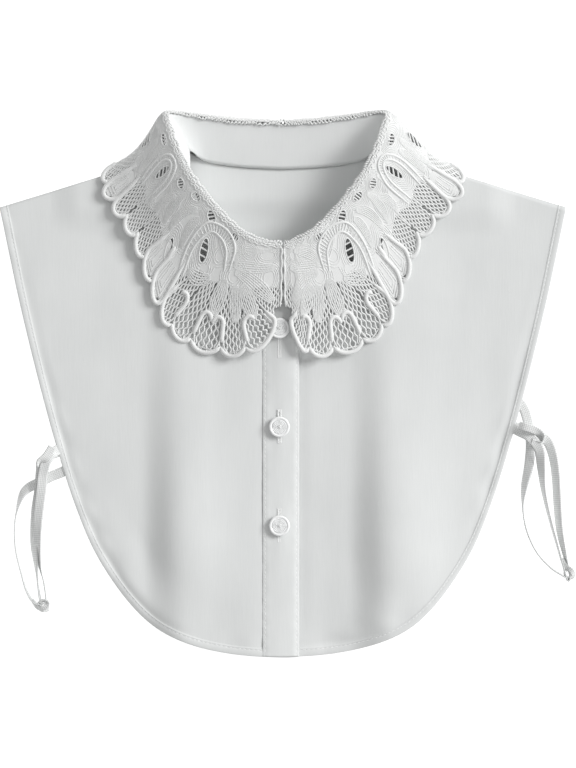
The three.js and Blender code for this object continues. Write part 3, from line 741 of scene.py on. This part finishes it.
def tie(name, rows, material):
    piece, line, length = ribbon(name, rows, material)
    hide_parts(name)
    path = line[:: max(1, len(line) // 90)] * MM
    length * MM
    [tuple(p) for p in np.vstack([path, line[-1:] * MM])]


# The cotton body


def upwards(_):
    return Vector((0, 0, 1))


def edge_rows(count):
    """Rows from the neckline to the hem, closest together at the hem."""
    close = np.array([CLOSE_ROWS, 9, 7.5, 6.6, 6, 5.5, 5, 4.6, 4.2, 3.8, 3, 2, 1, 0.4, 0])
    plain = np.linspace(0, 1 - CLOSE_ROWS / FRONT_LONG, count, endpoint=False)
    return np.concatenate([plain, 1 - close / FRONT_LONG])


def hem_relief(x, y, away):
    """A narrow folded hem: raised, held down and gathered by its stitches, drawn down at the folds."""
    raised = HEM_RAISE * ease(5.6 - away, 0, 0.8)
    stitched = 0.34 * bell(away, HEM_STITCHES, 0.42)
    along = np.arctan2(y + 60, x) * 150
    gather = np.sin(along / 1.5 + 1.6 * np.sin(along / 7.1)) * (0.5 + 0.5 * np.sin(along / 19 + x / 40))
    slack = np.sin(along / 6.1 + 1.4 * np.sin(along / 23)) * (0.6 + 0.4 * np.sin(along / 37 + 1))
    pucker = 0.16 * gather * bell(np.maximum(away - 3.6, 0), 0, 3.2)
    pull = 0.5 * slack * bell(away, 8.5, 5.5) * ease(away, 1, 6)
    dip = 0.55 * bell(away, 7.6, 2.6) * (0.5 + 0.5 * np.sin(along / 33 + 0.8))
    drawn = 2.6 * bell(x, -90, 20) + 2.6 * bell(x, 58, 14)
    swell = drawn * np.clip(away / 9, 0, 1) * (1 - ease(away, 9, 40)) * (1 - ease(y, -105, -65))
    rounded = 0.25 * ease(0.8 - away, 0, 0.8)
    return raised - stitched + (pucker + pull - dip) + swell - rounded


def front(side, material):
    lapped = side < 0
    start = -PLACKET_RIGHT if lapped else PLACKET_LEFT
    neck, edge = plan_curve(NECKLINE, start), plan_curve(OUTER_EDGE, start)

    def plan(s, t):
        top, bottom = neck(s), edge(s)
        point = top + (bottom - top) * t[:, None]
        away = np.linalg.norm(bottom - top, axis=1) * (1 - t)
        return side * point[:, 0], point[:, 1], away

    def place(s, t):
        long = np.linalg.norm(edge(s) - neck(s), axis=1)
        close = 1 - CLOSE_ROWS / FRONT_LONG
        plain = t * (1 - CLOSE_ROWS / long) / close
        x, y, away = plan(s, np.where(t > close, 1 - (1 - t) * FRONT_LONG / long, plain))
        return np.stack([x, y, front_top(x, y, lapped) + hem_relief(x, y, away)], -1)

    name = "front_lapped" if lapped else "front_under"
    down = edge_rows(90)
    rows = len(down) - 1
    piece = cloth_sheet(name + "_cloth", material, 120, rows, place, FRONT_WALL, upwards, down=down)
    dress(piece, name)
    s = np.linspace(0.004, 0.999, 900)
    long = np.linalg.norm(edge(s) - neck(s), axis=1)
    x, y, away = plan(s, 1 - HEM_STITCHES / long)
    z = front_top(x, y, lapped) + hem_relief(x, y, away) + 0.05
    return stitches(np.stack([x, y, z], -1))


def back(material):
    neck, edge = plan_curve(BACK_NECKLINE), plan_curve(OUTER_EDGE)

    def place(s, t):
        share, side = np.abs(s - 0.5) * 2, np.sign(s - 0.5)
        top, bottom = neck(share), edge(share)
        point = top + (bottom - top) * (t**1.15)[:, None]
        x, y = side * point[:, 0], point[:, 1]
        away = np.linalg.norm(bottom - point, axis=1)
        worn = ripple(x + 40, y) * ease(away, 10, 40) * 0.5
        return np.stack([x, y, back_under(x, y) + CLOTH + worn - 0.1 * ease(5.2 - away, 0, 0.6)], -1)

    piece = cloth_sheet("back_cloth", material, 140, 90, place, CLOTH, upwards)
    dress(piece, "back")


def placket(material):
    def place(s, t):
        x = PLACKET_LEFT + (PLACKET_EDGE - PLACKET_LEFT) * s
        top, bottom = NECKLINE[0][1] + 0.014 * x * x - 1.5, OUTER_EDGE[0][1] + 0.002 * x * x + 0.5
        y = top + (bottom - top) * t
        sides = np.minimum(x - PLACKET_LEFT, PLACKET_EDGE - x)
        roll = np.where(x < BUTTON_X, 0.3, 0.55)
        rounded = -roll * (1 - ease(sides, 0, 3)) - 0.16 * bell(sides, PLACKET_STITCHES, 0.4)
        rounded -= 0.65 * (1 - ease(x - PLACKET_LEFT, 0, 12))
        gather = 0.1 * np.sin(y / 1.7 + 2 * np.sin(y / 13)) * bell(sides, PLACKET_STITCHES, 1.6)
        holes = sum(bell(y, middle, 16) for middle in BUTTON_Y)
        pulled = 0.22 * holes * np.sin((x - BUTTON_X) * 0.55 + 0.9 + 0.8 * np.sin(y / 11))
        soft = 0.14 * np.sin(y / 21 + x / 7) + 0.08 * np.sin(y / 9 - x / 4) + pulled
        return np.stack([x, y, front_top(x, y, True) + PLACKET_OVER + rounded + gather + soft], -1)

    across = np.array([
        0, 0.02, 0.05, 0.075, 0.11, 0.18, 0.28, 0.39, 0.5, 0.61, 0.72, 0.82, 0.89, 0.925, 0.95, 0.98, 1,
    ])
    piece = cloth_sheet("placket_cloth", material, 16, 260, place, PLACKET_WALL, upwards, across=across)
    dress(piece, "placket")
    lines = []
    for x in (PLACKET_LEFT + PLACKET_STITCHES, PLACKET_EDGE - PLACKET_STITCHES):
        s = (x - PLACKET_LEFT) / (PLACKET_EDGE - PLACKET_LEFT)
        t = np.linspace(0.002, 0.998, 600)
        line = place(np.full_like(t, s), t)
        line[:, 2] += 0.06
        lines += stitches(line)
    return lines


def buttonhole(y0, y1):
    """Dense stitches to both sides of a slit, with a bar at each end."""
    lines = []
    for y in np.arange(y0, y1, 0.42):
        ends = min(y - y0, y1 - y) < 1.3
        for side in (-1, 1):
            inner, outer = (0, 1.35) if ends else (0.28, 1.3)
            x = BUTTON_X + side * np.array([inner, (inner + outer) / 2, outer])
            z = front_top(x, np.full(3, y), True) + PLACKET_OVER
            lines.append(np.stack([x, y + np.array([0, 0.1, 0.2]), z + np.array([-0.1, 0.28, -0.05])], -1))
    return lines


def collar_stand(material):
    def outward(s, t):
        along = stand_middle(np.minimum(s + 0.002, 1), t) - stand_middle(np.maximum(s - 0.002, 0), t)
        up = stand_middle(s, np.minimum(t + 0.02, 1)) - stand_middle(s, np.maximum(t - 0.02, 0))
        return unit(np.cross(along, up))

    def place(s, t):
        return stand_middle(s, t) + outward(s, t) * half_wall

    half_wall = 0.35
    centre = Vector((-0.002, 0.125, 0))
    across = np.concatenate([np.linspace(0, 0.5, 111), np.linspace(0.5, 1, 111)[1:]])
    piece = cloth_sheet(
        "collar_stand_cloth", material, 220, 12, place, STAND_WALL, lambda c: c - centre, across=across
    )
    dress(piece, "collar_stand")
    inner = 1 if outward(np.array([0.5]), np.array([0.5]))[0, 1] < 0 else -1
    lines = []
    for t in (0.09, 0.86):
        s = np.linspace(0.002, 0.998, 900)
        t = np.full_like(s, t)
        lines += stitches(stand_middle(s, t) + outward(s, t) * (half_wall + inner * 0.45))
    return lines


# The lace


def quadratic(a, b, c, s):
    a, b, c = (np.array(p, float) for p in (a, b, c))
    s = np.asarray(s)[..., None]
    return a * (1 - s) ** 2 + 2 * b * s * (1 - s) + c * s**2


def petal_half_width(s, long, cap, narrow):
    """A petal's half width, where s runs from root to tip: before its end is rounded, and after."""
    straight = long - cap
    place = s * long
    plain = cap * (narrow + (1 - narrow) * np.clip(place / straight, 0, 1) ** 0.9)
    rounded = np.sqrt(np.maximum(cap**2 - np.maximum(place - straight, 0) ** 2, 0))
    return plain, np.minimum(plain, rounded)


def petal_frame(petal):
    start, end = np.array(petal[:2], float), np.array(petal[2:4], float)
    long = np.linalg.norm(end - start)
    ahead = (end - start) / long
    return start, ahead, aside_of(ahead), long


def in_petal(petal, s, c):
    """A point of a petal: s from root to tip, c from one side to the other."""
    start, ahead, aside, long = petal_frame(petal)
    s, c = np.broadcast_arrays(np.asarray(s, float), np.asarray(c, float))
    width = petal_half_width(s, long, *petal[4:6])[1]
    return start + ahead * (s * long)[..., None] + aside * (c * width)[..., None]


def petal_share(petal, point):
    """How far out from a petal's axis points lie, where 1 is its rim."""
    start, ahead, aside, long = petal_frame(petal)
    away = point - start
    s = away @ ahead / long
    width = petal_half_width(np.clip(s, 0, 1), long, *petal[4:6])[1]
    return np.where((s > 0) & (s < 1), np.abs(away @ aside) / np.maximum(width, 0.01), 9)


def owner(point):
    """Which petal each point belongs to, or -1."""
    shares = np.array([petal_share(petal, point) for petal in PETALS])
    return np.where(shares.min(0) < 1, shares.argmin(0), -1)


def solid_depth(u):
    """How far down the close-stitched part of the lace reaches."""
    u = np.asarray(u, float)
    fan = 33.5 + 1.2 * np.sin(u / 3.3 + 0.6)
    plain = 39.5 + 1.8 * np.sin(u / 4.4)
    return fan + (plain - fan) * ease(u, 48, 62)


def runs(line, free, shortest=3, every=1):
    """The stretches of a line that are free."""
    starts = np.flatnonzero(np.diff(np.concatenate([[0], free.astype(int), [0]])))
    kept = []
    for a, b in zip(starts[::2], starts[1::2]):
        if b - a > shortest:
            kept.append(line[np.unique(np.append(np.arange(a, b, every), b - 1))])
    return kept


def gap_share(gap, point):
    """How far out from a gap's middle points lie, where 1 is its rim."""
    x, y, long, wide, turn = gap
    away, ahead = point - np.array([x, y]), compass(turn)
    return np.hypot(away @ ahead / (long / 2), away @ aside_of(ahead) / (wide / 2))


def gap_rim(gap, grow, count):
    x, y, long, wide, turn = gap
    angle = np.linspace(0, 2 * np.pi, count, endpoint=False)
    ahead = compass(turn)
    reach = np.cos(angle)[:, None] * ahead * (long / 2 + grow)
    return np.array([x, y]) + reach + np.sin(angle)[:, None] * aside_of(ahead) * (wide / 2 + grow)


def smooth_line(points, count):
    points = np.array(points, float)
    keys = np.arange(len(points))
    at = np.linspace(0, keys[-1], count)
    return np.stack([through(keys, points[:, k], at) for k in (0, 1)], -1)


def gap_distance(point):
    return np.array([gap_share(gap, point) for gap in LACE_GAPS])


def net_swing(place, number):
    return np.sin(place * 2 * np.pi / NET_HOLE + np.pi * number)


def net_lines():
    """Threads that swing to and fro and meet their neighbours, with small long holes between them."""

    def open_part(line):
        return (line[:, 1] > solid_depth(line[:, 0]) - NET_UNDER) & (line[:, 0] > 0.4)

    lines = []
    for number, petal in enumerate(PETALS):
        if petal[6]:
            continue
        start, ahead, aside, long = petal_frame(petal)
        place = np.arange(0, long - 0.3, NET_STEP)
        plain = petal_half_width(place / long, long, *petal[4:6])[0]
        count = int(2 * petal[4] / NET_PITCH)
        for c in (-1, 1):
            line = in_petal(petal, place / long, c)
            taken = owner(line)
            lines += runs(line, open_part(line) & ((taken < 0) | (taken == number)), every=2)
        for k in range(1, count):
            offset = plain * (2 * (k + 0.24 * net_swing(place, k)) / count - 1)
            line = start + place[:, None] * ahead + offset[:, None] * aside
            lines += runs(line, open_part(line) & (owner(line) == number))
    for x, y, long, wide, turn in LACE_GAPS:
        for shift in (-0.3, -0.02, 0.27):
            middle = np.array([x, y]) + shift * long * compass(turn)
            lines.append(middle + np.linspace(-0.55, 0.55, 7)[:, None] * compass(turn + 68) * wide)
    v = np.arange(30, 60, NET_STEP)
    for k, u in enumerate(np.arange(0.9, BAND_LENGTH - 0.5, NET_PITCH)):
        line = np.stack([u + 0.34 * net_swing(v, k), v], -1)
        free = (v > solid_depth(u) - NET_UNDER) & (v < lace_depth(u) - 1.6) & ((v < 46) | (u > 5))
        lines += runs(line, free & (owner(line) < 0) & (gap_distance(line).min(0) > 1.06), shortest=2)
    return lines


def ring_lines():
    """Rows of stitches round each gap, up to where those of the next gap begin."""
    lines = []
    middles = LACE_GAPS + MOTIFS
    for number, gap in enumerate(middles):
        for grow in (1.6, 2.9, 4.2, 5.5, 6.8, 8.1):
            line = gap_rim(gap, grow, 72)
            line = np.vstack([line, line[:1]])
            free = np.array([gap_share(other, line) for other in middles]).argmin(0) == number
            free &= (line[:, 0] > 1) & (line[:, 0] < BAND_LENGTH - 0.6) & (line[:, 1] > 5)
            free &= line[:, 1] < solid_depth(line[:, 0]) - 0.4
            lines += runs(line, free, shortest=4, every=2)
    return lines


def pad(bm, uv, axis, width_at, side, height, lift, long):
    """A raised satin shape: a ball drawn out along an axis of the chart and pressed flat."""
    made = bmesh.ops.create_uvsphere(bm, u_segments=12, v_segments=9, radius=1, calc_uvs=False)["verts"]
    ball = np.array([v.co[:] for v in made])
    reach = np.clip(ball[:, 2], -1, 1)
    round_ = np.sqrt(np.maximum(1 - reach**2, 1e-9))
    s = 0.5 + 0.5 * reach * (0.55 + 0.45 * reach**2)
    c = np.where(round_ > 1e-3, ball[:, 0] / round_, 0)
    middle = axis(s)
    ahead = unit(axis(np.minimum(s + 0.01, 1)) - axis(np.maximum(s - 0.01, 0)))
    point = middle + aside_of(ahead) * (c * width_at(s) * np.minimum(round_ * 1.6, 1))[:, None]
    up = np.where(round_ > 1e-3, ball[:, 1] / round_, 0) * np.minimum(round_ * 1.3, 1)
    placed = on_lace(point[:, 0], point[:, 1], side, lift + up * height) * MM
    for vert, co, share, out in zip(made, placed, s, c):
        vert.co = co
        for loop in vert.link_loops:
            loop[uv].uv = (share * long / 10, out * 0.5)


def close_stitching(name, side, material):
    """The solid part of the lace, with its gaps."""
    bm = bmesh.new()
    bmesh.ops.create_grid(bm, x_segments=236, y_segments=34, size=0.5)
    st = np.array([v.co[:2] for v in bm.verts]) + 0.5
    u = 0.3 + st[:, 0] * (BAND_LENGTH - 0.6)
    v = 1.2 + st[:, 1] * (solid_depth(u) - 1.2)
    for vert, x, y in zip(bm.verts, u, v):
        vert.co = (x, y, 0)
    middles = np.array([face.calc_center_median()[:2] for face in bm.faces])
    gone = gap_distance(middles).min(0) < 1
    bmesh.ops.delete(bm, geom=[f for f, out in zip(list(bm.faces), gone) if out], context="FACES")
    rim = [vert for vert in bm.verts if vert.is_boundary]
    for gap in LACE_GAPS:
        x, y = gap[:2]
        places = np.array([vert.co[:2] for vert in rim])
        for vert, share in zip(rim, gap_share(gap, places)):
            if share < 1.45:
                vert.co.x, vert.co.y = x + (vert.co.x - x) / share, y + (vert.co.y - y) / share
    points = np.array([vert.co[:2] for vert in bm.verts])
    placed = on_lace(points[:, 0], points[:, 1], side, np.zeros(len(points))) * MM
    for vert, point in zip(bm.verts, placed):
        vert.co = point
    bm.normal_update()
    if sum(face.normal.z for face in bm.faces if face.calc_center_median().y < 0.1) < 0:
        bmesh.ops.reverse_faces(bm, faces=bm.faces)
    made = finish_mesh(name, bm, material)
    add_wall(made, LACE_WALL, 0)
    return made


def joined(name, pieces, material):
    """Several pieces as one mesh."""
    bm = bmesh.new()
    depsgraph = bpy.context.evaluated_depsgraph_get()
    for piece in pieces:
        mesh = bpy.data.meshes.new_from_object(piece.evaluated_get(depsgraph))
        bm.from_mesh(mesh)
        bpy.data.meshes.remove(mesh)
        bpy.data.objects.remove(piece)
    return finish_mesh(name, bm, material)


# Steps along half of a petal's rim, closest together at its tip
RIM_STEPS = 1 - (1 - np.linspace(0, 1, 40)) ** 1.8


def round_petal(petal, steps, share):
    """A line up one side of a petal, round its tip and down the other."""
    return np.vstack([in_petal(petal, steps, -share), in_petal(petal, steps[::-1][1:], share)])


def petal_rims():
    """The heavy rim of each petal and a finer line inside it, down to where the solid part begins."""
    outlines, seconds = [], []
    for number, petal in enumerate(PETALS):
        starts = 36 if petal[6] else 44 if number < 5 else 51
        for lines, share, start in ((outlines, 1, starts), (seconds, 0.78, starts + 1)):
            far = 1 - (1 - share) * petal[4] / petal_frame(petal)[3]
            line = round_petal(petal, RIM_STEPS * far, share)
            other = owner(line * 0.999)
            free = (other == number) | (other < 0) | (share < 1)
            if petal[6]:
                free = ~((other == number - 1) & PETALS[number - 1][6])
            lines += runs(line, (line[:, 1] > start) & free & (line[:, 0] > 0.2))
    return outlines, seconds


def hooks():
    """Curled cords that run up between the lobes of the front fan."""
    lines = []
    for number, (one, other) in enumerate(zip(PETALS[:4], PETALS[1:5])):
        root, tip = (np.add(one[k : k + 2], other[k : k + 2]) / 2 for k in (0, 2))
        ahead = unit(root - tip)
        curl = (2.9 if number % 2 else -2.9) * ease(np.arange(22), 9, 22)
        heading = np.arctan2(ahead[1], ahead[0]) + curl
        steps = 0.75 * np.stack([np.cos(heading), np.sin(heading)], -1)
        lines.append(tip + 4.5 * ahead + np.cumsum(steps, axis=0))
    return lines


def arch_lines():
    """The cords of the arches, and the bars between them."""
    arches, bars = [], []
    for pair in ARCHES:
        outer, inner = (smooth_line(points, 81) for points in pair)
        arches += [outer, inner]
        bars += [np.linspace(a, b, 4) for a, b in zip(outer[4:-4:3], inner[4:-4:3])]
    return arches, bars


def satin_petals(name, side, material):
    """The solid petals as raised satin, and the lines of the ridges on them."""
    bm = bmesh.new()
    uv = bm.loops.layers.uv.new("stitch")
    ridges = []
    for petal in PETALS:
        if not petal[6]:
            continue
        long = petal_frame(petal)[3]

        def axis(s, petal=petal):
            return in_petal(petal, 0.06 + 0.9 * s, 0)

        def width(s, petal=petal, long=long):
            return 0.84 * petal_half_width(0.06 + 0.9 * s, long, *petal[4:6])[1] + 0.2

        pad(bm, uv, axis, width, side, 0.3, 0.15, 0.9 * long)
        for share in (0.22, 0.44, 0.66):
            far = 0.96 - (1 - share) * petal[4] / long
            ridges.append(round_petal(petal, 0.1 + RIM_STEPS[8:] * (far - 0.1), share))
    bmesh.ops.recalc_face_normals(bm, faces=bm.faces)
    return finish_mesh(name, bm, material), ridges


def leaf_lines():
    """Rows of satin stitches that lie side by side in each leaf."""
    lines = []
    s = np.linspace(0, 1, 22)
    for start, control, end, wide in LEAVES:
        middle = quadratic(start, control, end, s)
        aside = aside_of(unit(np.gradient(middle, axis=0)))
        swell = wide / 2 * np.sin(np.pi * (0.06 + 0.88 * s)) ** 0.6
        for c in np.linspace(-1, 1, int(wide / 1.05) + 1):
            lines.append(middle + aside * (c * swell)[:, None])
    return lines


def braid_lines(side):
    """The rough plait along the fold, and the small arcade under it."""
    u = np.arange(0.6, BAND_LENGTH - 0.4, 0.5)
    rough = 0.35 * np.sin(u / 3.1 + 1.3 * np.sin(u / 7.7)) + 0.25 * np.sin(u / 1.7 + side)
    lines = []
    for row, v in enumerate((-1.5, -0.4, 0.8, 2.1)):
        turn = u * 2 * np.pi / PLAIT + row * 2.1
        wave = v + rough * (1 if row % 2 else -0.8) + 0.55 * np.sin(turn)
        lines.append(on_lace(u, wave, side, 0.3 + 0.3 * np.cos(turn) + 0.15 * rough))
    arcade = 5.2 - 1.7 * np.abs(np.sin(u * np.pi / 6.2)) + 0.4 * rough
    lines.append(on_lace(u, arcade, side, np.full(len(u), 0.4)))
    return lines


def lace_half(side, net_material, satin_material):
    name = "lace_left" if side < 0 else "lace_right"

    def laid(part, lines):
        lift, radius = LACE_THREADS[part]
        every = np.vstack(lines)
        placed = on_lace(every[:, 0], every[:, 1], side, np.full(len(every), lift))
        placed[:, 2] = np.maximum(placed[:, 2], radius)
        return np.split(placed, np.cumsum([len(line) for line in lines])[:-1])

    def strung(part, lines, material=net_material, **more):
        return threads(f"{name}_{part}", laid(part, lines), LACE_THREADS[part][1], material, **more)

    solid = close_stitching(name + "_solid", side, net_material)
    net = strung("mesh", net_lines())
    ground = joined(name + "_ground", [solid, net], net_material)

    outlines, seconds = petal_rims()
    arches, bars = arch_lines()
    v = np.linspace(2, 47, 62)
    ends = [np.stack([np.abs(u - 0.9 - 0.3 * np.sin(v / 1.7 + u)), v], -1) for u in (0, BAND_LENGTH)]
    rims = strung("rims", outlines + hooks(), sides=8, taper=thinner_ends)
    cords = strung("cords", arches + ends, sides=8, taper=thinner_ends)
    gap_rims = laid("gap_rims", [gap_rim(gap, 0.3, 22) for gap in LACE_GAPS])
    borders = strung("borders", seconds + bars, sides=6, closed=gap_rims)
    rows = strung("rows", ring_lines())
    pads, ridges = satin_petals(name + "_satin", side, satin_material)
    veins = strung("veins", ridges)
    leaves = strung("leaves", leaf_lines(), satin_material)
    plait = threads(name + "_braid", braid_lines(side), 0.55, net_material, sides=6)
    trims = [rims, cords, borders, rows, pads, veins, leaves, plait]
    for piece in trims:
        dress(piece)
    dress(ground, name)


# The buttons


def seated(name, bm, material, y, seat):
    """Put a part of a button, which is made in millimetres at the origin, in its place."""
    bmesh.ops.scale(bm, vec=(MM, MM, MM), verts=bm.verts)
    bmesh.ops.translate(bm, vec=(BUTTON_X * MM, y * MM, seat * MM), verts=bm.verts)
    return finish_mesh(name, bm, material)


def button_rim(name, material, y, seat):
    radius = BUTTON_WIDTH / 2
    bm = bmesh.new()
    profile = [
        (0, 0), (radius * 0.8, 0), (radius * 0.96, 0.35), (radius, 0.9), (radius, 1.7),
        (radius * 0.95, 2.2), (radius * 0.87, 2.4), (radius * 0.79, 2.2), (radius * 0.73, 1.75),
        (radius * 0.6, 1.8), (0, 1.95),
    ]
    verts = [bm.verts.new((x, 0, z)) for x, z in profile]
    edges = [bm.edges.new(pair) for pair in zip(verts, verts[1:])]
    bmesh.ops.spin(
        bm, geom=verts + edges, cent=(0, 0, 0), axis=(0, 0, 1), angle=2 * math.pi, steps=48, use_merge=True
    )
    bmesh.ops.remove_doubles(bm, verts=bm.verts, dist=0.001)
    bmesh.ops.recalc_face_normals(bm, faces=bm.faces)
    return seated(name, bm, material, y, seat)


def button_facets(name, material, y, seat):
    """The dimpled middle of a button: a round grid of small flat facets."""
    radius = BUTTON_WIDTH / 2
    bm = bmesh.new()
    bmesh.ops.create_grid(bm, x_segments=10, y_segments=10, size=radius * 0.7)
    for vert in bm.verts:
        square = vert.co.copy()
        reach = max(abs(square.x), abs(square.y))
        if square.length > 1e-6:
            vert.co = square * (reach / square.length)
    faces = bmesh.ops.poke(bm, faces=bm.faces)
    for vert in faces["verts"]:
        vert.co.z += 0.6
    bmesh.ops.rotate(bm, verts=bm.verts, cent=(0, 0, 0), matrix=Matrix.Rotation(math.radians(40), 3, "Z"))
    for vert in bm.verts:
        vert.co.z += 1.85 + 0.12 * (1 - vert.co.xy.length / radius)
    facets = seated(name, bm, material, y, seat)
    facets.data.polygons.foreach_set("use_smooth", [False] * len(facets.data.polygons))
    add_wall(facets, 0.3)
    return facets


def button_thread(name, material, y, seat):
    """A shank of threads under a button, and a cross of them over it."""
    low = float(front_top(np.array(BUTTON_X), np.array(float(y)), True)) + 1.2
    lines = []
    for angle in np.arange(5) * 1.2:
        foot = [BUTTON_X + 0.7 * math.cos(angle), y + 0.7 * math.sin(angle)]
        lines.append(np.array([[*foot, low], [*foot, seat + 0.2]]))
    for ahead in (compass(45), compass(135)):
        for shift in (-0.22, 0.22):
            middle = np.array([BUTTON_X, y]) + aside_of(ahead) * shift
            reaches = ((-1.5, 2.0), (-0.9, 2.55), (0.9, 2.55), (1.5, 2.0))
            lines.append(np.array([[*(middle + ahead * reach), seat + up] for reach, up in reaches]))
    return threads(name, lines, 0.2, material, sides=6)


def button(name, y, material, thread):
    under = float(front_under(np.array(BUTTON_X), np.array(float(y)), True))
    seat = under + CLOTH + HEM_RAISE + 1 + 3 * SEAM_GAP
    dress(button_rim(name + "_rim", material, y, seat), name)
    dress(button_facets(name + "_facets", material, y, seat))
    dress(button_thread(name + "_thread", thread, y, seat))


# The floor and the light


def floor(material):
    bm = bmesh.new()
    bmesh.ops.create_grid(bm, x_segments=2, y_segments=2, size=4)
    bmesh.ops.translate(bm, vec=(0, 0, -0.0004), verts=bm.verts)
    finish_mesh("floor", bm, material)


def area_light(name, location, size, power):
    lamp = bpy.data.lights.new(name, "AREA")
    lamp.size = size
    lamp.energy = power
    obj = add_object(name, lamp)
    obj.location = location
    obj.rotation_euler = (-Vector(location)).to_track_quat("-Z", "Y").to_euler()


def light():
    world = bpy.data.worlds.new("studio")
    world.use_nodes = True
    background = world.node_tree.nodes["Background"]
    background.inputs["Color"].default_value = (1, 1, 1, 1)
    background.inputs["Strength"].default_value = 0.51
    bpy.context.scene.world = world
    area_light("key", (6.0, 2.6, 4.2), 3.2, 545)
    bpy.context.scene.view_settings.view_transform = "Standard"


def main():
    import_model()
    camera()
    elastic = elastic_look()
    for name, rows in TIES.items():
        tie(name, rows, elastic)
    for name, rows in KNOTS.items():
        ribbon(name, rows, elastic, 5.4 if "top" in name else 3.4)
    floor(floor_look())
    light()
    cotton, thread = cotton_look("white_poplin"), thread_look()
    back(cotton)
    seams = front(1, cotton) + front(-1, cotton) + placket(cotton)
    # The stand's poplin is a lighter copy of the same cotton: painted light on its upright walls.
    seams += collar_stand(cotton_look("stand_poplin_painted_light", 0.13))
    dress(threads("seam_stitches", seams, 0.2, thread))
    holes = [line for ends in BUTTONHOLES for line in buttonhole(*ends)]
    dress(threads("buttonhole_stitches", holes, 0.24, thread))
    net, satin = lace_look("lace_thread", False), lace_look("lace_satin", True)
    for side in (-1, 1):
        lace_half(side, net, satin)
    plastic = button_look()
    for name, y in zip(("button_low", "button_middle", "button_high"), BUTTON_Y):
        button(name, y, plastic, thread)


main()
